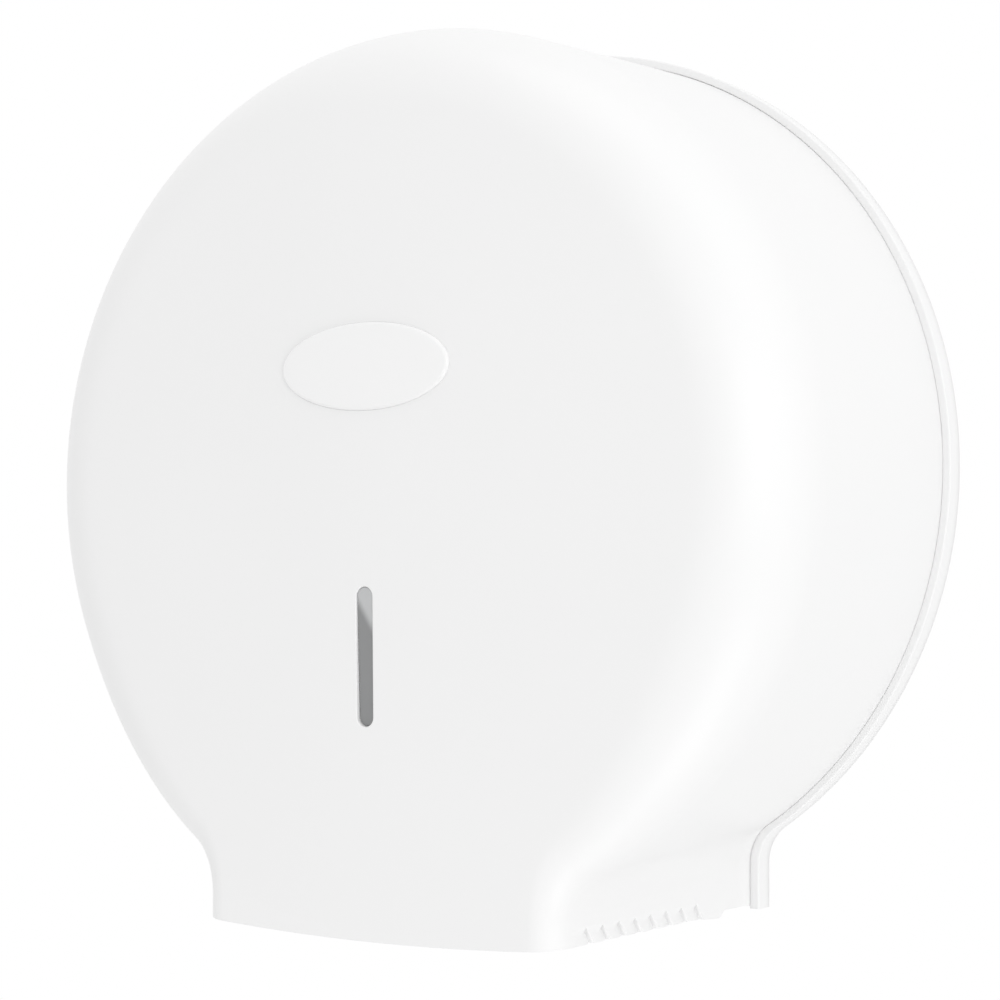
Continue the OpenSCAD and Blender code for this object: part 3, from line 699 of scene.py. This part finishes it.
def badge():
    """The bare oval plate: a low crown inside a rounded edge."""
    top = BADGE_BACK + BADGE_T
    edge_steps = 8
    loops = [oval_loop(BADGE_W, BADGE_H, lambda x, z: BADGE_BACK)]
    for i in range(edge_steps + 1):
        c, s = turn(90 * i / edge_steps)
        inset = BADGE_EDGE * (1 - c)
        depth = top - BADGE_CROWN - BADGE_EDGE * (1 - s)
        loops.append(oval_loop(BADGE_W - 2 * inset, BADGE_H - 2 * inset, lambda x, z, depth=depth: depth))
    for share in (0.8, 0.6, 0.4, 0.2, 0.05):
        w, h = share * (BADGE_W - 2 * BADGE_EDGE), share * (BADGE_H - 2 * BADGE_EDGE)
        depth = top - BADGE_CROWN * share ** 2
        loops.append(oval_loop(w, h, lambda x, z, depth=depth: depth))
    plate = stacked_loops("badge_plate_oval", loops)
    return finished(plate, "badge_plate", "cover", "badge_plastic", 50)


def level_window():
    """The strip behind the level slot, with a raised land that fills the slot and follows the face."""
    strip = block("level_window_strip", (-STRIP_W / 2, STRIP_W / 2), (-STRIP_FRONT, STRIP_T - STRIP_FRONT),
                  (STUD_Z[0] - STRIP_END, STUD_Z[1] + STRIP_END))
    edit(strip, lambda bm: bmesh.ops.bevel(bm, geom=bm.edges, offset=STRIP_EDGE * MM, segments=3, profile=0.5,
                                           affect="EDGES"))

    def land_at(x, z):
        down = clamp(0.5 - (z - SLOT_Z) / SLOT_LEN)
        return face_at(x, z) - mix(*LAND_SINK, down)

    loops = [slot_loop(-LAND_GAP, lambda x, z: STRIP_FRONT - STRIP_T / 2)]
    for i in range(6):
        c, s = turn(18 * i)
        inset, sunk = LAND_GAP + LAND_ROUND * (1 - c), LAND_ROUND * (1 - s)
        loops.append(slot_loop(-inset, lambda x, z, sunk=sunk: land_at(x, z) - sunk))
    for share in (0.6, 0.1):
        loops.append(slot_loop(-mix(SLOT_W / 2, LAND_GAP + LAND_ROUND, share), land_at))
    combine(strip, [stacked_loops("land", loops)], "UNION")
    combine(strip, [bar("stud_hole", STUD_R + STUD_HOLE_GAP, -STRIP_FRONT - 1, STRIP_T - STRIP_FRONT + 1,
                        (0, 0, z), "Y", 48) for z in STUD_Z], "DIFFERENCE")
    return finished(strip, "level_window", "cover", "window_clear")


def hinge_ear(side, foot):
    """The tray's ear on one side: a round-nosed plate with softened edges, from its foot to the hinge."""
    inner, outer = sorted((side * (EAR_OUTER - EAR_T), side * EAR_OUTER))
    nose_steps = 24
    loops = []
    part = 0.3 * EAR_ROUND
    sides = [(inner, EAR_ROUND), (inner + part, part), (inner + EAR_ROUND, 0), (outer - EAR_ROUND, 0),
             (outer - part, part), (outer, EAR_ROUND)]
    for x, inset in sides:
        loop = [(x, foot, HINGE_Z - BOSS_R + inset)]
        for i in range(nose_steps + 1):
            c, s = turn(mix(-90, 90, i / nose_steps))
            r = BOSS_R - inset
            loop.append((x, -HINGE_DEPTH - r * c, HINGE_Z + r * s))
        loop.append((x, foot, HINGE_Z + BOSS_R - inset))
        loops.append(loop)
    return stacked_loops("hinge_ear", loops)


def rim_section(u):
    """The rim's section at u of the outline: how far each point lies inside the outer surface, as a share of
    the way to the inner one, and its depth. The slope to the seam is wider beside the neck."""
    neck = smooth(2 - u)
    thickness = mix(TRAY_R - round_at(0), TRAY_NECK - neck_at(0), neck) - SEAM_GAP
    width, height = (mix(a, b, neck) for a, b in zip(RIM_SLOPE, NECK_RIM_SLOPE))
    full_c, full_s = turn(RIM_SLOPE_TURN)
    section = list(RIM_BACK_ROUND)
    section += [(share, RIM_DEPTH - under) for share, under in RIM_FRONT_ROUND]
    section.append((1 - RIM_FLAT_END - width / thickness, RIM_DEPTH))
    for i in range(6):
        c, s = turn(RIM_SLOPE_TURN * i / 5)
        share = 1 - width / thickness * (1 - s / full_s)
        section.append((share, RIM_DEPTH - height * (1 - c) / (1 - full_c)))
    return section + [(share, TRAY_T + over) for share, over in RIM_FILLET]


def seam_point(u):
    """Where the rim's inner surface lies at u: outside the cover by the gap, which is wider at the top."""
    height = cover_outline(u, STRAIGHT_DEPTH, 0, -TRAY_LOW)[1] / COVER_R
    gap = SEAM_GAP + SEAM_TOP_GAP * clamp(height) ** SEAM_FADE
    return cover_outline(u, STRAIGHT_DEPTH, -gap, TRAY_TRIM - TRAY_LOW)


def tray():
    """The wall tray: floor, rounded rim that follows the cover on the inside, open at the bottom."""
    half = outline_steps(8, 16, 110)
    columns = [(u, 1) for u in half] + [(u, -1) for u in reversed(half[:-1])]
    sections = {u: rim_section(u) for u in half}
    outer = {u: outline(u, TRAY_R, TRAY_NECK, TRAY_BLEND, 0, TRAY_TRIM - TRAY_LOW) for u in half}
    inner = {u: seam_point(u) for u in half}
    points = []

    def ring(row, out=1.0):
        for u, side in columns:
            share, depth = sections[u][row]
            x, z = mix(Vector(outer[u]), Vector(inner[u]), share)
            points.append((side * x * out, -depth, z))

    spine_steps = 6
    last = len(sections[0]) - 1
    for i in range(spine_steps):
        ring(0, i / spine_steps)
    for row in range(last + 1):
        ring(row)
    for i in range(1, spine_steps + 1):
        ring(last, 1 - i / spine_steps)
    rows = 2 * spine_steps + last + 1
    size = len(columns)
    faces = lattice(rows, size)
    bottom = [k * size for k in range(rows)] + [k * size + size - 1 for k in range(rows - 2, 0, -1)]
    faces.append(tuple(bottom))
    plate = mesh_object("back_tray", points, faces)

    def finish(bm):
        close_slivers(bm)
        bmesh.ops.triangulate(bm, faces=[f for f in bm.faces if len(f.verts) > 8])

    edit(plate, finish)
    hinge = (0, -HINGE_DEPTH, HINGE_Z)
    sunk = 1 - TRAY_T
    ring_front = TRAY_T + RING_H
    ring_inner = RING_R - RING_T
    adds = [turned("ring", [(RING_R, sunk, 0), (RING_R, -ring_front, RAISED_ROUND),
                            (ring_inner, -ring_front, RAISED_ROUND), (ring_inner, sunk, 0)])]
    adds.append(turned("spindle_pad", [(0, sunk, 0), (SPINDLE_PAD_R, sunk, 0),
                                       (SPINDLE_PAD_R, -SPINDLE_PAD, RAISED_ROUND), (0, -SPINDLE_PAD, 0)]))
    wall_holes = [(x, 0, z) for x in (-SCREW_X, SCREW_X) for z in (-SCREW_Z, SCREW_Z)]
    collar_front = TRAY_T + COLLAR_H
    for place in wall_holes:
        adds.append(turned("collar", [(0, sunk, 0), (COLLAR_R, sunk, 0),
                                      (COLLAR_R, -collar_front, COLLAR_ROUND), (0, -collar_front, 0)],
                           "Y", place, 64))
    adds += [hinge_ear(side, sunk) for side in (1, -1)]
    foot_pad_front = TRAY_T + FOOT_PAD_H
    adds.append(block("foot_pad", (KEEPER_X - PAD_EDGE, KEEPER_X + FOOT_LEN + PAD_EDGE),
                      (PLANE_GAP - foot_pad_front, sunk),
                      (KEEPER_Z - FOOT_H / 2 - PAD_EDGE, KEEPER_Z + FOOT_H / 2 + PAD_EDGE)))
    combine(plate, adds, "UNION")
    cuts = [bar("wall_hole", WALL_HOLE_R, -collar_front - 1, 1, place, "Y", 48) for place in wall_holes]
    for i in range(4):
        c, s = turn(45 + 90 * i)
        cuts.append(bar("screw_hole", FLANGE_SCREW_R, -SPINDLE_PAD - 1, -1,
                        (FLANGE_SCREW_RING * c, 0, FLANGE_SCREW_RING * s), "Y", 32))
    cuts += [bar("screw_hole", KEEPER_SCREW_R, -foot_pad_front - 1, sunk, (x, 0, KEEPER_Z), "Y", 32)
             for x in KEEPER_SCREW_X]
    for side in (1, -1):
        ends = sorted((side * (EAR_OUTER + 1), side * (EAR_OUTER - EAR_T - 1)))
        cuts.append(bar("pin_hole", PIN_R, *ends, hinge, "X", 48))
    combine(plate, cuts, "DIFFERENCE")
    return finished(plate, "back_plate", "base", "tray_plastic", 40)


def roll_hub():
    """Backing disc, drum for the core, and the ribbed sleeve that holds the bushes."""
    drum_in = DRUM_R - DRUM_T
    collar_seat = -DISC_BACK - BUSH_COLLAR_T
    hub = turned("roll_hub_moulding", [
        (BUSH_R, collar_seat, 0), (BUSH_COLLAR_R, collar_seat, 0), (BUSH_COLLAR_R, -DISC_BACK, 0.2),
        (DISC_R, -DISC_BACK, 0.8), (DISC_R, -DISC_FRONT, 0.8), (DRUM_R, -DISC_FRONT, 1.6),
        (DRUM_R, -DRUM_FRONT, 0.9), (drum_in, -DRUM_FRONT, 0.4), (drum_in, -DISC_FRONT, 0),
        (SLEEVE_R, -DISC_FRONT, 0), (SLEEVE_R, -SLEEVE_FRONT, 0.4), (BUSH_R, -SLEEVE_FRONT, 0)], steps=192)
    ribs = []
    for i in range(RIB_COUNT):
        rib = block("rib", (SLEEVE_R - 1, drum_in + 1), (-SLEEVE_FRONT, 0.5 - DISC_FRONT),
                    (-RIB_T / 2, RIB_T / 2))
        rib.data.transform(Matrix.Rotation(math.radians(360 * i / RIB_COUNT), 4, "Y"))
        ribs.append(rib)
    combine(hub, ribs, "UNION")
    return finished(hub, "roll_hub", "hub", "hub_plastic")


def hub_cap():
    """Push-in cap of the drum, with a shallow dish."""
    back, front = CAP_T - DRUM_FRONT, -DRUM_FRONT
    dish = front + CAP_DISH
    cap = turned("hub_cap_disc", [
        (0, back, 0), (CAP_R, back, 0.4), (CAP_R, front, 0.6), (CAP_R - CAP_RIM, front, 0.6),
        (CAP_R - CAP_RIM - 1, dish, 0.6), (0, dish, 0)])
    return finished(cap, "hub_cap", "hub", "hub_plastic")


def rounded_copy(node, width, body):
    """A CAD node's own shape with its edges rounded, for small hardware."""
    source = frame["nodes"][node]
    copy = bpy.data.objects.new(node + "_rounded", source.data.copy())
    bpy.context.scene.collection.objects.link(copy)

    def round_edges(bm):
        bmesh.ops.remove_doubles(bm, verts=bm.verts, dist=SMALL_WELD * MM)
        bmesh.ops.dissolve_limit(bm, angle_limit=math.radians(FLAT_ANGLE), verts=bm.verts, edges=bm.edges)
        bmesh.ops.bevel(bm, geom=sharp_edges(bm, SMALL_ANGLE), offset=width * MM, segments=2, profile=0.5,
                        affect="EDGES", clamp_overlap=True)

    edit(copy, round_edges)
    return finished(copy, node, body, SLOT_OF[node], 30)


# Points of a small piece that are closer together than this are joined
SMALL_WELD = 0.001
# Its faces that meet at less than this angle become one
FLAT_ANGLE = 0.5
# Its edges that are sharper than this are rounded
SMALL_ANGLE = 38.0
# How wide the rounding of each small piece is
SMALL_EDGES = {
    "spindle_post": 0.35, "spindle_screws": 0.2, "friction_washer": 0.15, "hub_retainer": 0.25,
    "hub_screw": 0.3, "lock_keeper": 0.35, "keeper_screws": 0.2, "hinge_pin_left": 0.25,
    "hinge_pin_right": 0.25, "window_rivets": 0.3, "lock_housing": 0.25, "lock_nut": 0.3,
    "lock_barrel": 0.15, "lock_cam": 0.25, "cam_screw": 0.2, "hub_bush_rear": 0.2, "hub_bush_front": 0.2}
SLOT_OF = {row["node"]: row["material_slot"] for row in frame["record"]["subparts"]}
BODY_OF = {node: body for body, nodes in frame["record"]["behaviour"]["bodies"].items() for node in nodes}


# ---------------------------------------------------------------- materials
def new_material(name):
    material = bpy.data.materials.new(name)
    material.use_nodes = True
    nodes, links = material.node_tree.nodes, material.node_tree.links
    return material, nodes, links, nodes["Principled BSDF"]


def soft_noise(nodes, links, place, scale, low, high, detail=2.0):
    """A number that drifts between about low and high over the surface, with no edges."""
    noise = nodes.new("ShaderNodeTexNoise")
    noise.inputs["Scale"].default_value = scale
    noise.inputs["Detail"].default_value = detail
    links.new(place, noise.inputs["Vector"])
    level = nodes.new("ShaderNodeMapRange")
    level.clamp = False
    level.inputs["From Min"].default_value = 0.25
    level.inputs["From Max"].default_value = 0.75
    level.inputs["To Min"].default_value = low
    level.inputs["To Max"].default_value = high
    links.new(noise.outputs["Fac"], level.inputs["Value"])
    return level.outputs["Result"]


def fine_relief(nodes, links, place, shader, scale, strength, depth):
    """A bump of fine noise, depth high, on the shader's normal."""
    noise = nodes.new("ShaderNodeTexNoise")
    noise.inputs["Scale"].default_value = scale
    noise.inputs["Detail"].default_value = 2.0
    links.new(place, noise.inputs["Vector"])
    relief = nodes.new("ShaderNodeBump")
    relief.inputs["Strength"].default_value = strength
    relief.inputs["Distance"].default_value = depth
    links.new(noise.outputs["Fac"], relief.inputs["Height"])
    links.new(relief.outputs["Normal"], shader.inputs["Normal"])


def tinted(nodes, links, shader, colour, share):
    """Sets the shader's colour to colour, brightened or darkened by the linked share."""
    tint = nodes.new("ShaderNodeVectorMath")
    tint.operation = "SCALE"
    tint.inputs[0].default_value = colour
    links.new(share, tint.inputs["Scale"])
    links.new(tint.outputs["Vector"], shader.inputs["Base Color"])


# Scales of the drift of gloss and of shade over moulded plastic, and the height of its skin in metres
GLOSS_SCALE = 14.0
SHADE_SCALE = 9.0
SKIN_HEIGHT = 0.0002


def moulded_plastic(name, colour, rough, drift=0.012, shade_drift=0.008, grain=900.0, bump=0.006):
    """Moulded plastic: gloss and shade that drift softly over the surface, and a very fine skin."""
    material, nodes, links, shader = new_material(name)
    shader.inputs["IOR"].default_value = 1.5
    place = nodes.new("ShaderNodeTexCoord").outputs["Object"]
    gloss = soft_noise(nodes, links, place, GLOSS_SCALE, rough - drift, rough + drift)
    links.new(gloss, shader.inputs["Roughness"])
    share = soft_noise(nodes, links, place, SHADE_SCALE, 1 - shade_drift, 1 + shade_drift)
    tinted(nodes, links, shader, colour, share)
    fine_relief(nodes, links, place, shader, grain, bump, SKIN_HEIGHT)
    return material


def plated_metal(name, colour, low, high, stretch=(1.0, 1.0, 40.0)):
    """Plated metal with fine drawn lines."""
    material, nodes, links, shader = new_material(name)
    shader.inputs["Base Color"].default_value = (*colour, 1)
    shader.inputs["Metallic"].default_value = 1.0
    place = nodes.new("ShaderNodeTexCoord")
    squeeze = nodes.new("ShaderNodeMapping")
    squeeze.inputs["Scale"].default_value = stretch
    links.new(place.outputs["Object"], squeeze.inputs["Vector"])
    lines = nodes.new("ShaderNodeTexNoise")
    lines.inputs["Scale"].default_value = 260.0
    lines.inputs["Detail"].default_value = 4.0
    links.new(squeeze.outputs["Vector"], lines.inputs["Vector"])
    level = nodes.new("ShaderNodeMapRange")
    level.inputs["To Min"].default_value = low
    level.inputs["To Max"].default_value = high
    links.new(lines.outputs["Fac"], level.inputs["Value"])
    links.new(level.outputs["Result"], shader.inputs["Roughness"])
    relief = nodes.new("ShaderNodeBump")
    relief.inputs["Strength"].default_value = 0.08
    relief.inputs["Distance"].default_value = 0.0001
    links.new(lines.outputs["Fac"], relief.inputs["Height"])
    links.new(relief.outputs["Normal"], shader.inputs["Normal"])
    return material


# The smoked strip: its darker tone, which is the strip's smoke and also painted shade for the shaded inside
# behind it, and its lighter tone, which is painted light for the lit zone seen through it; the height at
# which they meet on the middle line, the slant of the line between them, and how far to either side of it
# they blend
SMOKE_AND_SHADE_TONE = 0.315
PAINTED_LIGHT_TONE = 0.63
PAINTED_LIGHT_EDGE_Z = -44.4
PAINTED_LIGHT_SLANT = 1.62
PAINTED_LIGHT_FADE = 2.6


def smoked_strip_with_painted_light(name):
    """Partly see-through and smoked; the lighter tone above a slanted line near the slot's upper end is
    painted light for the lit zone seen through the strip, and the darker smoke below is also painted shade
    for the shaded inside.
    """
    material, nodes, links, shader = new_material(name)
    shader.inputs["IOR"].default_value = 1.5
    shader.inputs["Alpha"].default_value = 0.8
    place = nodes.new("ShaderNodeTexCoord").outputs["Object"]
    links.new(soft_noise(nodes, links, place, 60.0, 0.16, 0.2), shader.inputs["Roughness"])
    height = nodes.new("ShaderNodeVectorMath")
    height.operation = "DOT_PRODUCT"
    height.inputs[1].default_value = (PAINTED_LIGHT_SLANT, 0, 1)
    links.new(place, height.inputs[0])
    # Painted light and shade: a lighter tone above the slanted line and a darker one below it stand in for
    # what is lit and shaded behind the strip
    smoke_and_painted_light = nodes.new("ShaderNodeMapRange")
    smoke_and_painted_light.interpolation_type = "SMOOTHSTEP"
    smoke_and_painted_light.inputs["From Min"].default_value = (PAINTED_LIGHT_EDGE_Z - PAINTED_LIGHT_FADE) * MM
    smoke_and_painted_light.inputs["From Max"].default_value = (PAINTED_LIGHT_EDGE_Z + PAINTED_LIGHT_FADE) * MM
    smoke_and_painted_light.inputs["To Min"].default_value = SMOKE_AND_SHADE_TONE
    smoke_and_painted_light.inputs["To Max"].default_value = PAINTED_LIGHT_TONE
    links.new(height.outputs["Value"], smoke_and_painted_light.inputs["Value"])
    tinted(nodes, links, shader, (0.99, 1.0, 1.01), smoke_and_painted_light.outputs["Result"])
    return material


MATERIALS = {
    "tray_plastic": moulded_plastic("tray_plastic", (0.86, 0.86, 0.86), 0.34, 0.02),
    "cover_plastic": moulded_plastic("cover_plastic", (0.86, 0.86, 0.86), 0.3),
    "badge_plastic": moulded_plastic("badge_plastic", (0.88, 0.88, 0.88), 0.24),
    "hub_plastic": moulded_plastic("hub_plastic", (0.72, 0.73, 0.74), 0.45, 0.04, 0.02),
    "grey_plastic": moulded_plastic("grey_plastic", (0.62, 0.63, 0.64), 0.47, 0.05, 0.03),
    "bearing_plastic": moulded_plastic("bearing_plastic", (0.2, 0.2, 0.21), 0.45, 0.05, 0.05),
    # The window's colour holds painted light and painted shade
    "window_clear": smoked_strip_with_painted_light("window_clear"),
    "foam_pad": moulded_plastic("foam_pad", (0.85, 0.85, 0.83), 0.9, 0.05, 0.03, grain=2400.0, bump=0.6),
    "zinc_steel": plated_metal("zinc_steel", (0.68, 0.69, 0.7), 0.22, 0.4),
    "spring_steel": plated_metal("spring_steel", (0.6, 0.61, 0.62), 0.25, 0.42),
    "sheet_steel": plated_metal("sheet_steel", (0.66, 0.67, 0.68), 0.28, 0.45),
    "lock_metal": plated_metal("lock_metal", (0.78, 0.79, 0.8), 0.08, 0.18),
}


def paint():
    """Gives every shown CAD node and every piece the material of its slot."""
    for node, obj in frame["nodes"].items():
        obj.data.materials.clear()
        obj.data.materials.append(MATERIALS[SLOT_OF[node]])
    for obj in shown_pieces():
        if "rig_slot" in obj:
            obj.data.materials.clear()
            obj.data.materials.append(MATERIALS[obj["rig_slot"]])


# ---------------------------------------------------------------- stage
# The floor's height and how far it reaches to each side, in metres
FLOOR_Z = -1.2
FLOOR_HALF = 20.0


def background_switch(nodes):
    """Three numbers: 1 for what is seen straight, in a reflection or through glass, and 0 for other light."""
    path = nodes.new("ShaderNodeLightPath")
    return [path.outputs[name] for name in ("Is Camera Ray", "Is Glossy Ray", "Is Transmission Ray")]


def any_of(nodes, links, values):
    """The largest of the values."""
    total = values[0]
    for value in values[1:]:
        most = nodes.new("ShaderNodeMath")
        most.operation = "MAXIMUM"
        links.new(total, most.inputs[0])
        links.new(value, most.inputs[1])
        total = most.outputs[0]
    return total


def studio_world(level):
    """White behind the object; a plain soft light of the given level on it."""
    world = bpy.data.worlds.new("studio")
    bpy.context.scene.world = world
    world.use_nodes = True
    nodes, links = world.node_tree.nodes, world.node_tree.links
    back = nodes["Background"]
    back.inputs["Color"].default_value = (1, 1, 1, 1)
    strength = nodes.new("ShaderNodeMapRange")
    strength.inputs["To Min"].default_value = level
    strength.inputs["To Max"].default_value = 1.0
    links.new(any_of(nodes, links, background_switch(nodes)), strength.inputs["Value"])
    links.new(strength.outputs["Result"], back.inputs["Strength"])


def studio_floor():
    """A wide floor far below, white to the camera and matt grey to the light."""
    size = FLOOR_HALF
    mesh = bpy.data.meshes.new("floor")
    mesh.from_pydata([(-size, -size, FLOOR_Z), (size, -size, FLOOR_Z), (size, size, FLOOR_Z),
                      (-size, size, FLOOR_Z)], [], [(0, 1, 2, 3)])
    floor = bpy.data.objects.new("floor", mesh)
    bpy.context.scene.collection.objects.link(floor)
    material, nodes, links, shader = new_material("floor_white")
    shader.inputs["Base Color"].default_value = (0.8, 0.8, 0.8, 1)
    shader.inputs["Roughness"].default_value = 0.9
    glow = nodes.new("ShaderNodeEmission")
    blend = nodes.new("ShaderNodeMixShader")
    links.new(any_of(nodes, links, background_switch(nodes)), blend.inputs["Fac"])
    links.new(shader.outputs["BSDF"], blend.inputs[1])
    links.new(glow.outputs["Emission"], blend.inputs[2])
    links.new(blend.outputs["Shader"], nodes["Material Output"].inputs["Surface"])
    mesh.materials.append(material)


def soft_light(name, place, size, watts):
    """A square lamp that looks at the object's middle."""
    light = bpy.data.lights.new(name, "AREA")
    light.shape = "SQUARE"
    light.size = size
    light.energy = watts
    lamp = bpy.data.objects.new(name, light)
    lamp.location = place
    lamp.rotation_euler = (AIM - Vector(place)).to_track_quat("-Z", "Y").to_euler()
    bpy.context.scene.collection.objects.link(lamp)


# Where the lamps look, and the level of the plain soft light round the object
AIM = Vector((0, -0.06, 0))
WORLD_LEVEL = 0.955
# Each lamp's place in metres, side in metres and power in watts
LAMPS = {
    "top": ((0.1, -0.35, 1.15), 0.7, 0.74),
    "top_right": ((0.85, -0.35, 0.85), 0.7, 0.42),
    "right_front": ((0.95, -0.95, 0.15), 0.7, 1.56),
    "right_low": ((0.8, -0.45, -0.8), 0.6, 1.16),
    "right_far": ((2.3, -0.7, 0.2), 1.6, 3.88),
    "low": ((0.1, -0.3, -0.95), 0.6, 0.86)}

# The photograph's camera, in metres: it stands to the right of the front and looks slightly up
CAMERA_PLACE = Vector((0.401435, -0.660508, -0.031916))
CAMERA_TURN = math.radians(33.0)
CAMERA_TILT = math.radians(1.72)
FOCAL_PIXELS = 2366.44
PICTURE_PIXELS = 1000
SENSOR = 36.0


def photograph_camera():
    camera = bpy.data.cameras.new("camera")
    camera.sensor_width = SENSOR
    camera.lens = SENSOR * FOCAL_PIXELS / PICTURE_PIXELS
    obj = bpy.data.objects.new("camera", camera)
    obj.location = CAMERA_PLACE
    obj.rotation_euler = (math.pi / 2 + CAMERA_TILT, 0, CAMERA_TURN)
    bpy.context.scene.collection.objects.link(obj)
    bpy.context.scene.camera = obj


# ---------------------------------------------------------------- the scene
bpy.context.scene.view_settings.view_transform = "Standard"
photograph_camera()
front_cover()
badge()
level_window()
tray()
roll_hub()
hub_cap()
for small_node, edge_width in SMALL_EDGES.items():
    rounded_copy(small_node, edge_width, BODY_OF[small_node])
paint()
studio_world(WORLD_LEVEL)
studio_floor()
for lamp_name, lamp in LAMPS.items():
    soft_light(lamp_name, *lamp)
